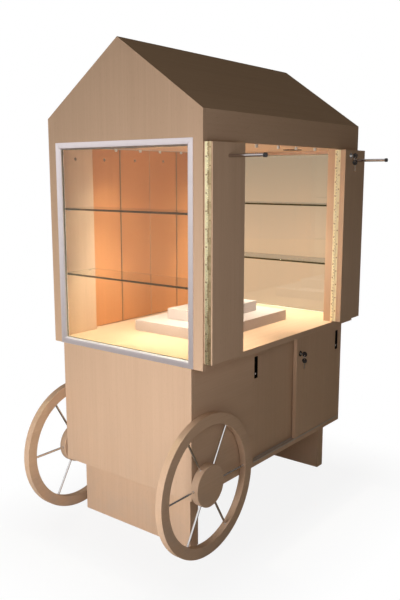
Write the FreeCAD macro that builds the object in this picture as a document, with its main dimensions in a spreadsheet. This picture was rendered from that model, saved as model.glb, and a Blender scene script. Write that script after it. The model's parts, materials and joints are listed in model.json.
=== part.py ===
import FreeCAD, Part
import Sketcher
import os
import re

# A cheese trolley: a gabled display case on a cupboard base that stands on two plinths, with a
# spoked wheel on each long side.  Millimetres, Z up.
#
# The sizes below are driving dimensions.  Positions are worked out from the case's lower near
# corner: X runs along the long side from the near gable, Y runs in from the front face, and Z
# runs up from the floor.  The last step moves every piece so that the whole trolley's box has
# its bottom centre at the origin.

SIZES = {
    # boards and the case
    "board": 19, "case_length": 1200, "case_width": 810, "worktop_thickness": 24,
    "plinth_height": 240, "base_top": 764, "opening_height": 800, "fascia_height": 110,
    "roof_rise": 280, "post_edge": 200, "post_depth": 50,
    # glazed ends
    "frame_inset": 44, "frame_height": 836, "frame_profile": 27, "frame_proud": 2,
    "pane_thickness": 4, "pane_setback": 9, "pane_bite": 8,
    # shelves and podium
    "shelf_thickness": 8, "shelf_gap": 1, "lower_shelf_top": 1064, "upper_shelf_top": 1336,
    "shelf_pin_radius": 2.5, "shelf_pin_length": 24, "shelf_pin_stands_out": 10,
    "shelf_pin_hole_radius": 2.55, "shelf_pin_near": 55, "shelf_pin_far": 165,
    "podium_length": 620, "podium_width": 404, "podium_step": 48,
    "podium_top_length": 410, "podium_top_width": 202,
    # downlights and door stops
    "lamp_from_end": 268, "lamp_from_front": 200, "lamp_radius": 42.5, "lamp_flange": 3,
    "lamp_can_radius": 37, "lamp_can_height": 52, "lens_radius": 34, "lens_recess": 6,
    "lens_thickness": 3, "lamp_well": 9,
    "stop_radius": 6, "stop_length": 12, "stop_gap": 0.4, "outer_stop": 370, "inner_stop": 530,
    # bi-fold leaves and their continuous hinges
    "leaf_gap": 3, "hinged_leaf_width": 195.5, "free_leaf_width": 197, "swing_gap": 0.3,
    "hinge_gap": 1.5, "barrel_radius": 2.6, "barrel_relief": 2.4, "barrel_clear": 0.4,
    "hinge_plate": 1.2, "hinge_plate_width": 14, "knuckle_gap": 0.4, "knuckle_pairs": 8,
    "hinge_pin_radius": 1.25, "hinge_bore_radius": 1.3,
    # pegs on the front leaves
    "peg_radius": 6, "peg_hole_radius": 7, "peg_reach": 156, "peg_cap_radius": 8.3,
    "peg_cap_length": 10, "peg_height": 1538, "peg_seat_radius": 6.05,
    # cam locks
    "lock_inset": 50, "case_lock_height": 1558, "base_lock_from_near": 800,
    "base_lock_height": 664, "lock_radius": 9.5, "rosette_radius": 13, "rosette_proud": 2,
    "lock_depth": 7, "plug_radius": 6, "plug_bore_radius": 6.05, "plug_proud": 0.5,
    "cam_length": 38, "cam_width": 12, "cam_thickness": 3, "cam_hub_radius": 8,
    "mortise_low": 7.4, "mortise_wide": 4.2, "mortise_reach": 40, "mortise_side": 9,
    "keep_slot_low": 7, "keep_slot_wide": 5, "keep_slot_depth": 12, "keep_slot_side": 8,
    "keep_slot_reach": 30, "base_cam_length": 30, "base_cam_thickness": 2,
    "strike_radius": 3, "strike_proud": 3, "strike_before_lock": 12, "strike_above_lock": 22,
    # keys
    "key_neck": 9, "key_blade_width": 7, "key_blade_thickness": 2, "key_bow_radius": 12,
    "key_bow_thickness": 3, "key_eye_radius": 3, "key_ring_radius": 8, "key_wire_radius": 0.8,
    "spare_blade": 26, "key_ring_hang": 1,
    # cupboard base
    "base_setback": 54, "fixed_side_end": 420, "door_bottom": 260.9, "door_top": 757,
    "front_door_face": 55, "rear_door_face": 78, "rear_door_end": 830, "front_door_start": 770,
    "door_side_gap": 0.5, "track_wall": 1.5, "track_start": 53.1, "track_end": 98.9,
    "track_middle": 76, "bottom_track_height": 6, "top_track_height": 14,
    # finger pulls
    "pull_width": 20, "pull_height": 91, "pull_depth": 11, "pull_wall": 1.2,
    "pull_rim": 2, "pull_rim_proud": 1, "pull_low": 621, "near_pull_middle": 468,
    "far_pull_middle": 1150,
    # plinths
    "plinth_thickness": 51, "plinth_inset": 58, "plinth_setback": 108,
    # wheels
    "wheel_from_near": 74, "wheel_height": 288, "wheel_radius": 286, "rim_inner_radius": 241,
    "rim_face": 22, "rim_thickness": 30, "hub_radius": 84, "hub_face": 17,
    "hub_thickness": 33, "hub_cover": 6, "hub_bore_radius": 10.05,
    "axle_radius": 10, "axle_start": 26, "collar_radius": 18, "collar_gap": 0.4,
    "spoke_radius": 4.5, "spoke_plane": 37, "spoke_seat": 10, "spokes": 6,
}

SHEET = "Sizes"
WORD = re.compile(r"[a-z][a-z_]*")

# Heights and places that several pieces share.
SILL = "(base_top + worktop_thickness)"
HEAD = f"({SILL} + opening_height)"
EAVE = f"({HEAD} + fascia_height)"
RIDGE = f"({EAVE} + roof_rise)"
SLOPE = "(2 * roof_rise / case_width)"
FASCIA_TOP = f"({EAVE} + board * {SLOPE})"
ROOF_BOARD = f"(board * sqrt(1 + {SLOPE} * {SLOPE}))"
LEAF_BOTTOM = f"({SILL} + leaf_gap)"
LEAF_TOP = f"({HEAD} - leaf_gap)"
LEAF_HEIGHT = "(opening_height - 2 * leaf_gap)"
BASE_FLOOR = "(plinth_height + board)"
FOLDED_DEPTH = "(2 * board + 4 * swing_gap)"
LEAF_HOLE = "(hinged_leaf_width / 2)"

# The trolley's box at rest: the wheel and the far window frame set its length, the pegs and the
# barrels of the back hinges set its width.
ORIGIN_X = "((wheel_from_near - wheel_radius + case_length + frame_proud) / 2)"
ORIGIN_Y = f"((case_width + swing_gap + barrel_radius - {FOLDED_DEPTH} - peg_reach) / 2)"

doc = FreeCAD.newDocument("cheese_trolley")
nodes = []


def make_sheet():
    sheet = doc.addObject("Spreadsheet::Sheet", SHEET)
    for row, (alias, value) in enumerate(SIZES.items(), start=1):
        sheet.set(f"A{row}", alias)
        sheet.set(f"B{row}", str(value))
        sheet.setAlias(f"B{row}", alias)
    doc.recompute()


def cell(match):
    word = match.group(0)
    return f"{SHEET}.{word}" if word in SIZES else word


def bind(thing, prop, text):
    """Tie one property to the sheet: each word of the text that is a size becomes its cell."""
    thing.setExpression(prop, WORD.sub(cell, text))


def place(thing, low):
    for axis, text in zip("xyz", low):
        bind(thing, f"Placement.Base.{axis}", text)


def turn_to_y(thing):
    """Lay a piece that stands on Z along Y."""
    thing.Placement = FreeCAD.Placement(FreeCAD.Vector(), FreeCAD.Rotation(FreeCAD.Vector(1, 0, 0), -90))


def size_box(box, low, size):
    for prop, text in zip(("Length", "Width", "Height"), size):
        bind(box, prop, text)
    place(box, low)
    return box


def size_rod(rod, start, radius, length, along):
    if along == "Y":
        turn_to_y(rod)
    bind(rod, "Radius", radius)
    bind(rod, "Height", length)
    place(rod, start)
    return rod


# Features inside a body.

def body_named(name):
    return doc.addObject("PartDesign::Body", name)


def add_box(body, name, low, size):
    return size_box(body.newObject("PartDesign::AdditiveBox", name), low, size)


def cut_box(body, name, low, size):
    return size_box(body.newObject("PartDesign::SubtractiveBox", name), low, size)


def add_rod(body, name, start, radius, length, along="Z"):
    return size_rod(body.newObject("PartDesign::AdditiveCylinder", name), start, radius, length, along)


def cut_rod(body, name, start, radius, length, along="Z"):
    return size_rod(body.newObject("PartDesign::SubtractiveCylinder", name), start, radius, length, along)


def origin_feature(body, role):
    return next(feature for feature in body.Origin.OriginFeatures if feature.Role == role)


def outline(body, name, plane, offset, points):
    """A closed sketch whose corners are all placed from the sheet."""
    sketch = body.newObject("Sketcher::SketchObject", name)
    sketch.AttachmentSupport = [(origin_feature(body, plane), "")]
    sketch.MapMode = "FlatFace"
    bind(sketch, "AttachmentOffset.Base.z", offset)
    count = len(points)
    rough = [FreeCAD.Vector(100 + 10 * i, 100 + 7 * i * i, 0) for i in range(count)]
    for i in range(count):
        sketch.addGeometry(Part.LineSegment(rough[i], rough[(i + 1) % count]), False)
    for i in range(count):
        sketch.addConstraint(Sketcher.Constraint("Coincident", i, 2, (i + 1) % count, 1))
    for i, (across, up) in enumerate(points):
        pin_corner(sketch, "DistanceX", f"across_{i}", i, rough[i].x, across)
        pin_corner(sketch, "DistanceY", f"up_{i}", i, rough[i].y, up)
    return sketch


def pin_corner(sketch, kind, name, corner, rough, text):
    index = sketch.addConstraint(Sketcher.Constraint(kind, -1, 1, corner, 1, rough))
    sketch.renameConstraint(index, name)
    bind(sketch, f"Constraints.{name}", text)


def pad(body, name, plane, low, high, points):
    """Pad an outline from low to high along the axis that its plane is square to."""
    start = f"-({high})" if plane == "XZ_Plane" else low
    feature = body.newObject("PartDesign::Pad", name)
    feature.Profile = outline(body, f"{name}_outline", plane, start, points)
    bind(feature, "Length", f"({high}) - ({low})")
    return feature


# Pieces that are only a primitive, for nodes that hold several solids.

def lone_box(name, low, size):
    return size_box(doc.addObject("Part::Box", name), low, size)


def lone_rod(name, start, radius, length, along="Z"):
    return size_rod(doc.addObject("Part::Cylinder", name), start, radius, length, along)


def cut_pieces(name, base, tool):
    cut = doc.addObject("Part::Cut", name)
    cut.Base = base
    cut.Tool = tool
    return cut


def node(thing, label):
    """Name a finished sub-part and move it to the trolley's own frame."""
    thing.Label = label
    place(thing, (f"-{ORIGIN_X}", f"-{ORIGIN_Y}", "0"))
    nodes.append(thing)
    return thing


def group(label, members):
    compound = doc.addObject("Part::Compound", f"{label}_set")
    compound.Links = members
    return node(compound, label)


# The four corners of the case.  A size measured in from the near end or the front face is
# mirrored to the far end or the back face.

ENDS = ("near", "far")
FACES = ("front", "back")
SETS = [(face, end) for face in FACES for end in ENDS]


def from_end(end, text):
    return text if end == "near" else f"(case_length - ({text}))"


def from_face(face, text):
    return text if face == "front" else f"(case_width - ({text}))"


def low_of(mirrored, limit, start, size):
    return f"({limit} - ({start}) - ({size}))" if mirrored else start


def corner_low(face, end, low, size):
    """The low corner of a box given for the near front corner, moved to another corner."""
    return (low_of(end == "far", "case_length", low[0], size[0]),
            low_of(face == "back", "case_width", low[1], size[1]),
            low[2])


# The case.

def gable_panel(end):
    """A board cut to the roof's slope, with the window's opening sawn out from below."""
    body = body_named(f"gable_panel_{end}")
    low, high = ("0", "board") if end == "near" else ("case_length - board", "case_length")
    opening_top = "base_top + frame_height"
    far_leg = "case_width - frame_inset"
    pad(body, f"gable_{end}", "YZ_Plane", low, high, [
        ("0", "base_top"), ("frame_inset", "base_top"), ("frame_inset", opening_top),
        (far_leg, opening_top), (far_leg, "base_top"), ("case_width", "base_top"),
        ("case_width", EAVE), ("case_width / 2", RIDGE), ("0", EAVE)])
    node(body, f"gable_panel_{end}")


def roof_panels():
    """Two boards mitred at the ridge, butted to the fascias between the gables."""
    panels = []
    for face in FACES:
        body = body_named(f"roof_panel_{face}")
        eave, ridge = from_face(face, "board"), "case_width / 2"
        pad(body, f"roof_{face}", "YZ_Plane", "board", "case_length - board", [
            (eave, FASCIA_TOP), (ridge, RIDGE), (ridge, f"{RIDGE} - {ROOF_BOARD}"),
            (eave, f"{FASCIA_TOP} - {ROOF_BOARD}")])
        panels.append(body)
    group("roof_panels", panels)


def closed_lock_place(face):
    """Where each case lock stands when its leaves are shut."""
    shut = "(post_edge + 3 * hinge_gap + hinged_leaf_width + hinge_gap + free_leaf_width - lock_inset)"
    return from_end("far" if face == "front" else "near", shut)


def fascias():
    """Boards over the doors, bevelled to the roof, each with a slot for the lock's cam."""
    boards = []
    for face in FACES:
        body = body_named(f"fascia_{face}")
        outer, inner = from_face(face, "0"), from_face(face, "board")
        pad(body, f"fascia_board_{face}", "YZ_Plane", "board", "case_length - board", [
            (outer, HEAD), (inner, HEAD), (inner, FASCIA_TOP), (outer, EAVE)])
        lock = closed_lock_place(face)
        slot_low = f"{lock} - keep_slot_reach" if face == "front" else f"{lock} - keep_slot_side"
        cut_box(body, f"cam_slot_{face}",
                (slot_low, low_of(face == "back", "case_width", "keep_slot_low", "keep_slot_wide"), HEAD),
                ("keep_slot_side + keep_slot_reach", "keep_slot_wide", "keep_slot_depth"))
        boards.append(body)
    group("fascias", boards)


def lamp_places():
    return [(from_end(end, "lamp_from_end"), from_face(face, "lamp_from_front"))
            for face, end in SETS]


def ceiling_panel():
    body = body_named("ceiling_panel")
    add_box(body, "ceiling_board", ("board", "board", HEAD),
            ("case_length - 2 * board", "case_width - 2 * board", "board"))
    for index, (x, y) in enumerate(lamp_places()):
        cut_rod(body, f"lamp_hole_{index}", (x, y, HEAD), "lamp_can_radius", "board")
    node(body, "ceiling_panel")


def corner_posts():
    """Deep uprights that carry the hinges, with the peg's hole and the holes for the shelf pins."""
    posts = []
    for face, end in SETS:
        body = body_named(f"post_{face}_{end}")
        size = ("post_edge - board", "post_depth", "opening_height")
        add_box(body, f"post_board_{face}_{end}", corner_low(face, end, ("board", "0", SILL), size), size)
        # The corner by the hinge's barrel is planed away.
        relief = f"relief_{face}_{end}"
        corner_relief(body, relief, face, end, "post_edge", "0", -1, 1, SILL, "opening_height")
        cut_rod(body, f"post_hole_{face}_{end}",
                (from_end(end, f"post_edge - {LEAF_HOLE}"),
                 low_of(face == "back", "case_width", "0", "post_depth"), "peg_height"),
                "peg_hole_radius", "post_depth", "Y")
        for name, x, z in shelf_pin_places(end):
            let_in = "(shelf_pin_length - shelf_pin_stands_out)"
            start = low_of(face == "back", "case_width", f"post_depth - {let_in}", let_in)
            cut_rod(body, f"pin_hole_{face}_{end}_{name}", (x, start, z), "shelf_pin_hole_radius", let_in, "Y")
        posts.append(body)
    group("corner_posts", posts)


def corner_relief(body, name, face, end, x, y, toward_x, toward_y, low, height):
    """Cut a three-cornered strip off an upright edge; toward says which way the wood lies."""
    feature = body.newObject("PartDesign::Pocket", name)
    along = f"({x}) + ({toward_x}) * barrel_relief"
    inward = f"({y}) + ({toward_y}) * barrel_relief"
    corners = [(x, y), (along, y), (x, inward)]
    points = [(from_end(end, u), from_face(face, v)) for u, v in corners]
    feature.Profile = outline(body, f"{name}_outline", "XY_Plane", f"{low} + {height}", points)
    bind(feature, "Length", height)


def worktop():
    body = body_named("worktop_board")
    add_box(body, "worktop_sheet", ("board", "0", "base_top"),
            ("case_length - 2 * board", "case_width", "worktop_thickness"))
    node(body, "worktop")


def podium():
    """Two boxes, one on the other, in the middle of the worktop."""
    members = []
    tiers = [("lower", "podium_length", "podium_width", SILL),
             ("upper", "podium_top_length", "podium_top_width", f"{SILL} + podium_step")]
    for name, length, width, low in tiers:
        corner = (f"(case_length - {length}) / 2", f"(case_width - {width}) / 2", low)
        members.append(lone_box(f"podium_{name}", corner, (length, width, "podium_step")))
    group("podium", members)


# The glazed ends.

def window_frames():
    """Each is four aluminium sections with mitred corners and a groove for the pane."""
    frames = []
    depth = "board + frame_proud"
    for end in ENDS:
        body = body_named(f"window_frame_{end}")
        low = "-frame_proud" if end == "near" else "case_length - board"
        add_box(body, f"frame_block_{end}", (low, "frame_inset", "base_top"),
                (depth, "case_width - 2 * frame_inset", "frame_height"))
        cut_box(body, f"frame_sight_{end}",
                (low, "frame_inset + frame_profile", "base_top + frame_profile"),
                (depth, "case_width - 2 * (frame_inset + frame_profile)",
                 "frame_height - 2 * frame_profile"))
        groove_low, groove_size = pane_box(end)
        cut_box(body, f"frame_groove_{end}", groove_low, groove_size)
        frames.append(body)
    group("window_frames", frames)


def pane_box(end):
    edge = "(frame_profile - pane_bite)"
    x = low_of(end == "far", "case_length", "pane_setback", "pane_thickness")
    low = (x, f"frame_inset + {edge}", f"base_top + {edge}")
    size = ("pane_thickness", f"case_width - 2 * (frame_inset + {edge})", f"frame_height - 2 * {edge}")
    return low, size


def window_glasses():
    group("window_glasses", [lone_box(f"pane_{end}", *pane_box(end)) for end in ENDS])


# Shelves.

SHELF_TOPS = ("lower_shelf_top", "upper_shelf_top")


def glass_shelves():
    members = []
    size = ("post_edge - board - shelf_gap", "case_width - 2 * (post_depth + shelf_gap)", "shelf_thickness")
    for end in ENDS:
        for top in SHELF_TOPS:
            low = (low_of(end == "far", "case_length", "board + shelf_gap", size[0]),
                   "post_depth + shelf_gap", f"{top} - shelf_thickness")
            members.append(lone_box(f"shelf_{end}_{top}", low, size))
    group("glass_shelves", members)


def shelf_pin_places(end):
    """A name, X and Z for each of the four pins in a post."""
    return [(f"{top}_{along}", from_end(end, along), f"{top} - shelf_thickness - shelf_pin_radius")
            for top in SHELF_TOPS for along in ("shelf_pin_near", "shelf_pin_far")]


def shelf_pins():
    """Steel pins let into the posts, two under each end of each shelf."""
    members = []
    for face, end in SETS:
        start = low_of(face == "back", "case_width",
                       "post_depth + shelf_pin_stands_out - shelf_pin_length", "shelf_pin_length")
        for name, x, z in shelf_pin_places(end):
            members.append(lone_rod(f"pin_{face}_{end}_{name}", (x, start, z),
                                    "shelf_pin_radius", "shelf_pin_length", "Y"))
    group("shelf_pins", members)


# Lights and stops under the ceiling.

def downlights():
    cans = []
    lenses = []
    for index, (x, y) in enumerate(lamp_places()):
        body = body_named(f"downlight_{index}")
        add_rod(body, f"flange_{index}", (x, y, f"{HEAD} - lamp_flange"), "lamp_radius", "lamp_flange")
        add_rod(body, f"can_{index}", (x, y, HEAD), "lamp_can_radius", "lamp_can_height")
        cut_rod(body, f"well_{index}", (x, y, f"{HEAD} - lamp_flange"), "lens_radius", "lamp_well")
        cans.append(body)
        lenses.append(lone_rod(f"lens_{index}", (x, y, f"{HEAD} - lamp_flange + lens_recess"),
                               "lens_radius", "lens_thickness"))
    group("downlight_cans", cans)
    group("downlight_lenses", lenses)


def door_stops():
    """Nylon pegs that the shut leaves come to rest against."""
    members = []
    for face, end in SETS:
        for along in ("outer_stop", "inner_stop"):
            point = (from_end(end, along), from_face(face, "board + stop_gap + stop_radius"),
                     f"{HEAD} - stop_length")
            members.append(lone_rod(f"stop_{face}_{end}_{along}", point, "stop_radius", "stop_length"))
    group("door_stops", members)


# The bi-fold doors.  Each set is a leaf hinged to the post and a free leaf hinged to that one.
# At rest the front sets stand open, folded flat against their posts, and the back sets are shut.

def leaf_corner(face, leaf):
    """Low X and low Y of a leaf, for the near front corner, as it is at rest."""
    if face == "front":
        x = "(post_edge - hinged_leaf_width)"
        y = "(-2 * swing_gap - board)" if leaf == "hinged" else f"(-{FOLDED_DEPTH})"
        return x, y
    hinged = "(post_edge + 2 * hinge_gap)"
    free = f"({hinged} + hinged_leaf_width + 2 * hinge_gap)"
    return (hinged, "0") if leaf == "hinged" else (free, "0")


def hinge_axes(face):
    """The jamb's axis and the fold's axis, for the near front corner, as they are at rest."""
    jamb = ("(post_edge + hinge_gap)", "(-swing_gap)")
    if face == "front":
        return jamb, ("(post_edge - hinged_leaf_width - hinge_gap)", "(-3 * swing_gap - board)")
    return jamb, ("(post_edge + 3 * hinge_gap + hinged_leaf_width)", "(board + swing_gap)")


def has_lock(face, end):
    return (face, end) in (("front", "far"), ("back", "near"))


def leaf_board(face, end, leaf):
    """A door leaf with the peg's hole, relieved at the corners where hinge barrels lie."""
    name = f"{face}_{end}_{leaf}_leaf"
    body = body_named(name)
    x, y = leaf_corner(face, leaf)
    width = f"{leaf}_leaf_width"
    size = (width, "board", LEAF_HEIGHT)
    add_box(body, f"{name}_board", corner_low(face, end, (x, y, LEAF_BOTTOM), size), size)
    if leaf == "hinged":
        corner_relief(body, f"{name}_outer_relief", face, end, x, y, 1, 1, LEAF_BOTTOM, LEAF_HEIGHT)
        corner_relief(body, f"{name}_inner_relief", face, end, f"{x} + {width}", f"{y} + board",
                      -1, -1, LEAF_BOTTOM, LEAF_HEIGHT)
    else:
        corner_relief(body, f"{name}_relief", face, end, x, f"{y} + board", 1, -1,
                      LEAF_BOTTOM, LEAF_HEIGHT)
    holds_peg = face == "front" and leaf == "free"
    cut_rod(body, f"{name}_peg_hole",
            (from_end(end, f"{x} + {LEAF_HOLE}"), low_of(face == "back", "case_width", y, "board"),
             "peg_height"),
            "peg_seat_radius" if holds_peg else "peg_hole_radius", "board", "Y")
    if leaf == "free" and has_lock(face, end):
        lock_mortise(body, name, face, end)
    node(body, name)


def case_lock_place(face):
    """The case lock's axis in the near front corner's frame, and its leaf's outer face."""
    x, y = leaf_corner(face, "free")
    return f"({x} + free_leaf_width - lock_inset)", y


def lock_mortise(body, name, face, end):
    """The lock's blind hole, and the slot that its cam turns in, open at the leaf's top."""
    x, y = case_lock_place(face)
    depth = "mortise_low + mortise_wide"
    cut_rod(body, f"{name}_lock_hole",
            (from_end(end, x), low_of(face == "back", "case_width", y, depth), "case_lock_height"),
            "lock_radius", depth, "Y")
    size = ("mortise_reach + mortise_side", "mortise_wide", f"{LEAF_TOP} - case_lock_height + mortise_side")
    low = (f"{x} - mortise_side", f"{y} + mortise_low", "case_lock_height - mortise_side")
    cut_box(body, f"{name}_cam_mortise", corner_low(face, end, low, size), size)


def hinge_half(name, face, end, axis, board_side, plate_side, first):
    """One plate of a continuous hinge with every second knuckle.

    board_side says on which side in X of the axis the board's edge is, and plate_side which way
    in Y the plate runs; first is 0 or 1, for the lower or the upper knuckle of each pair.
    """
    body = body_named(name)
    x, y = axis
    pitch = f"({LEAF_HEIGHT} / (2 * knuckle_pairs))"
    plate_x = f"{x} - hinge_gap" if board_side < 0 else f"{x} + hinge_gap - hinge_plate"
    clear = "(barrel_radius + barrel_clear)"
    plate_y = f"{y} + {clear}" if plate_side > 0 else f"{y} - hinge_plate_width"
    plate_size = ("hinge_plate", f"hinge_plate_width - {clear}", LEAF_HEIGHT)
    add_box(body, f"{name}_plate", corner_low(face, end, (plate_x, plate_y, LEAF_BOTTOM), plate_size),
            plate_size)
    low = f"{LEAF_BOTTOM} + {first} * {pitch} + knuckle_gap / 2"
    length = f"{pitch} - knuckle_gap"
    tab_y = y if plate_side > 0 else f"{y} - {clear}"
    tab_size = ("hinge_plate", clear, length)
    tab = add_box(body, f"{name}_tab", corner_low(face, end, (plate_x, tab_y, low), tab_size), tab_size)
    centre = (from_end(end, x), from_face(face, y))
    knuckle = add_rod(body, f"{name}_knuckle", (*centre, low), "barrel_radius", length)
    row = body.newObject("PartDesign::LinearPattern", f"{name}_row")
    row.Originals = [tab, knuckle]
    row.Direction = (origin_feature(body, "Z_Axis"), [""])
    bind(row, "Length", f"2 * {pitch} * (knuckle_pairs - 1)")
    bind(row, "Occurrences", "knuckle_pairs")
    body.Tip = row
    cut_rod(body, f"{name}_bore", (*centre, LEAF_BOTTOM), "hinge_bore_radius", LEAF_HEIGHT)
    return body


def hinge_pin(name, face, end, axis):
    centre = (from_end(end, axis[0]), from_face(face, axis[1]))
    return lone_rod(name, (*centre, LEAF_BOTTOM), "hinge_pin_radius", LEAF_HEIGHT)


def jamb_hinges():
    """The plates on the posts, with the pins."""
    members = []
    for face, end in SETS:
        jamb, _ = hinge_axes(face)
        members.append(hinge_half(f"jamb_plate_{face}_{end}", face, end, jamb, -1, 1, 0))
        members.append(hinge_pin(f"jamb_pin_{face}_{end}", face, end, jamb))
    group("jamb_hinges", members)


def hinged_leaf_hinges(face, end):
    """The two plates on the hinged leaf's edges, with the fold's pin."""
    jamb, fold = hinge_axes(face)
    folded = face == "front"
    name = f"{face}_{end}"
    group(f"{name}_leaf_hinges", [
        hinge_half(f"{name}_jamb_half", face, end, jamb, -1 if folded else 1, -1 if folded else 1, 1),
        hinge_half(f"{name}_fold_half", face, end, fold, 1 if folded else -1, 1 if folded else -1, 0),
        hinge_pin(f"{name}_fold_pin", face, end, fold)])


def free_leaf_hinge(face, end):
    _, fold = hinge_axes(face)
    name = f"{face}_{end}_fold_plate"
    node(hinge_half(f"{name}_half", face, end, fold, 1, -1, 1), name)


def door_set(face, end):
    leaf_board(face, end, "hinged")
    leaf_board(face, end, "free")
    hinged_leaf_hinges(face, end)
    free_leaf_hinge(face, end)


def peg(end):
    """A chrome rod with a cap, let through the free leaf and flush with its inner face."""
    body = body_named(f"front_{end}_peg_turning")
    x, y = leaf_corner("front", "free")
    middle = from_end(end, f"{x} + {LEAF_HOLE}")
    outer = f"{y} - peg_reach"
    add_rod(body, f"peg_rod_{end}", (middle, outer, "peg_height"), "peg_radius", "peg_reach + board", "Y")
    add_rod(body, f"peg_cap_{end}", (middle, outer, "peg_height"), "peg_cap_radius", "peg_cap_length", "Y")
    node(body, f"front_{end}_peg")


# Cam locks.  Each lock has a fixed body with a rosette, and a plug that turns with its cam.

def lock_body(label, x, face, outer, z, depth):
    body = body_named(f"{label}_case")
    mirrored = face == "back"
    add_rod(body, f"{label}_rosette",
            (x, low_of(mirrored, "case_width", f"{outer} - rosette_proud", "rosette_proud"), z),
            "rosette_radius", "rosette_proud", "Y")
    add_rod(body, f"{label}_barrel", (x, low_of(mirrored, "case_width", outer, depth), z),
            "lock_radius", depth, "Y")
    whole = f"rosette_proud + {depth}"
    cut_rod(body, f"{label}_plug_bore",
            (x, low_of(mirrored, "case_width", f"{outer} - rosette_proud", whole), z),
            "plug_bore_radius", whole, "Y")
    node(body, label)


def lock_plug(label, x, face, outer, z, cam_start, cam_size, cam_toward):
    """The plug, the cam's hub and the cam, which points along the door when it is unlocked."""
    body = body_named(f"{label}_turning")
    mirrored = face == "back"
    length, thickness = cam_size
    reach = f"rosette_proud - plug_proud + {cam_start} + {thickness}"
    add_rod(body, f"{label}_plug",
            (x, low_of(mirrored, "case_width", f"{outer} - rosette_proud + plug_proud", reach), z),
            "plug_radius", reach, "Y")
    cam_y = low_of(mirrored, "case_width", f"{outer} + {cam_start}", thickness)
    add_rod(body, f"{label}_hub", (x, cam_y, z), "cam_hub_radius", thickness, "Y")
    cam_x = x if cam_toward > 0 else f"{x} - {length}"
    add_box(body, f"{label}_cam", (cam_x, cam_y, f"{z} - cam_width / 2"),
            (length, thickness, "cam_width"))
    node(body, label)


def case_lock(face, end):
    x, outer = case_lock_place(face)
    middle = from_end(end, x)
    z = "case_lock_height"
    lock_body(f"{face}_case_lock", middle, face, outer, z, "lock_depth")
    lock_plug(f"{face}_case_lock_plug", middle, face, outer, z,
              "(mortise_low + (mortise_wide - cam_thickness) / 2)",
              ("cam_length", "cam_thickness"), 1 if end == "near" else -1)


def base_lock():
    lock_body("base_lock", "base_lock_from_near", "front", "front_door_face", "base_lock_height", "board")
    gap = "(rear_door_face - front_door_face - board)"
    lock_plug("base_lock_plug", "base_lock_from_near", "front", "front_door_face", "base_lock_height",
              f"(board + ({gap} - base_cam_thickness) / 2)", ("base_cam_length", "base_cam_thickness"), 1)


def base_strike():
    """A stud on the rear door that the locked cam stands behind."""
    body = body_named("strike_stud")
    add_rod(body, "stud", ("base_lock_from_near - strike_before_lock", "rear_door_face - strike_proud",
                           "base_lock_height + strike_above_lock"),
            "strike_radius", "strike_proud", "Y")
    node(body, "base_lock_strike")


def key_head(name, middle, eye_height):
    """A key's round head, edge on to the door, with its eye above or below the middle."""
    x, y, z = middle
    discs = []
    for part, radius, height in (("bow", "key_bow_radius", z), ("eye", "key_eye_radius", eye_height)):
        disc = doc.addObject("Part::Cylinder", f"{name}_{part}")
        sideways = FreeCAD.Rotation(FreeCAD.Vector(0, 1, 0), 90)
        disc.Placement = FreeCAD.Placement(FreeCAD.Vector(), sideways)
        bind(disc, "Radius", radius)
        bind(disc, "Height", "key_bow_thickness")
        place(disc, (f"{x} - key_bow_thickness / 2", y, height))
        discs.append(disc)
    return cut_pieces(f"{name}_head", *discs)


def keys(label, x, outer, z):
    """The key in the lock, edge up, and the spare that hangs from it on a wire ring."""
    front = f"({outer} - rosette_proud)"
    bow = f"({front} - key_neck - key_bow_radius)"
    eye = f"({z} - key_bow_radius / 2)"
    ring_z = f"({eye} - key_ring_hang - key_ring_radius)"
    spare_eye = f"({ring_z} - key_ring_radius - key_ring_hang)"
    spare_z = f"({spare_eye} - key_bow_radius / 2)"
    blade = lone_box(f"{label}_blade",
                     (f"{x} - key_blade_thickness / 2", f"{front} - key_neck", f"{z} - key_blade_width / 2"),
                     ("key_blade_thickness", "key_neck + plug_proud", "key_blade_width"))
    head = key_head(label, (x, bow, z), eye)
    ring = doc.addObject("Part::Torus", f"{label}_ring")
    turn_to_y(ring)
    bind(ring, "Radius1", "key_ring_radius")
    bind(ring, "Radius2", "key_wire_radius")
    place(ring, (x, bow, ring_z))
    spare = key_head(f"{label}_spare", (x, bow, spare_z), spare_eye)
    spare_blade = lone_box(f"{label}_spare_blade",
                           (f"{x} - key_blade_thickness / 2", f"{bow} - key_blade_width / 2",
                            f"{spare_z} - key_bow_radius - spare_blade"),
                           ("key_blade_thickness", "key_blade_width", "spare_blade"))
    group(label, [blade, head, ring, spare, spare_blade])


# The cupboard base.

def base_uprights():
    """The two ends, and the partition behind the fixed side."""
    size = ("board", "case_width - 2 * base_setback", "base_top - plinth_height")
    members = [lone_box(f"base_end_{end}",
                        (low_of(end == "far", "case_length", "0", "board"), "base_setback", "plinth_height"),
                        size)
               for end in ENDS]
    members.append(lone_box("partition", ("fixed_side_end - board", "base_setback + board", BASE_FLOOR),
                            ("board", "case_width - 2 * (base_setback + board)", f"base_top - {BASE_FLOOR}")))
    group("base_uprights", members)


def base_side_fixed():
    body = body_named("fixed_side")
    add_box(body, "fixed_side_board", ("board", "base_setback", BASE_FLOOR),
            ("fixed_side_end - board", "board", f"base_top - {BASE_FLOOR}"))
    cut_rod(body, "front_axle_hole", ("wheel_from_near", "base_setback", "wheel_height"),
            "axle_radius", "board", "Y")
    node(body, "base_side_fixed")


def base_back():
    body = body_named("back_side")
    low = "case_width - base_setback - board"
    add_box(body, "back_board", ("board", low, "plinth_height"),
            ("case_length - 2 * board", "board", "base_top - plinth_height"))
    cut_rod(body, "back_axle_hole", ("wheel_from_near", low, "wheel_height"), "axle_radius", "board", "Y")
    node(body, "base_back")


def base_floor():
    body = body_named("floor_board")
    add_box(body, "floor_sheet", ("board", "base_setback", "plinth_height"),
            ("case_length - 2 * board", "case_width - 2 * base_setback - board", "board"))
    node(body, "base_floor")


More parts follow.
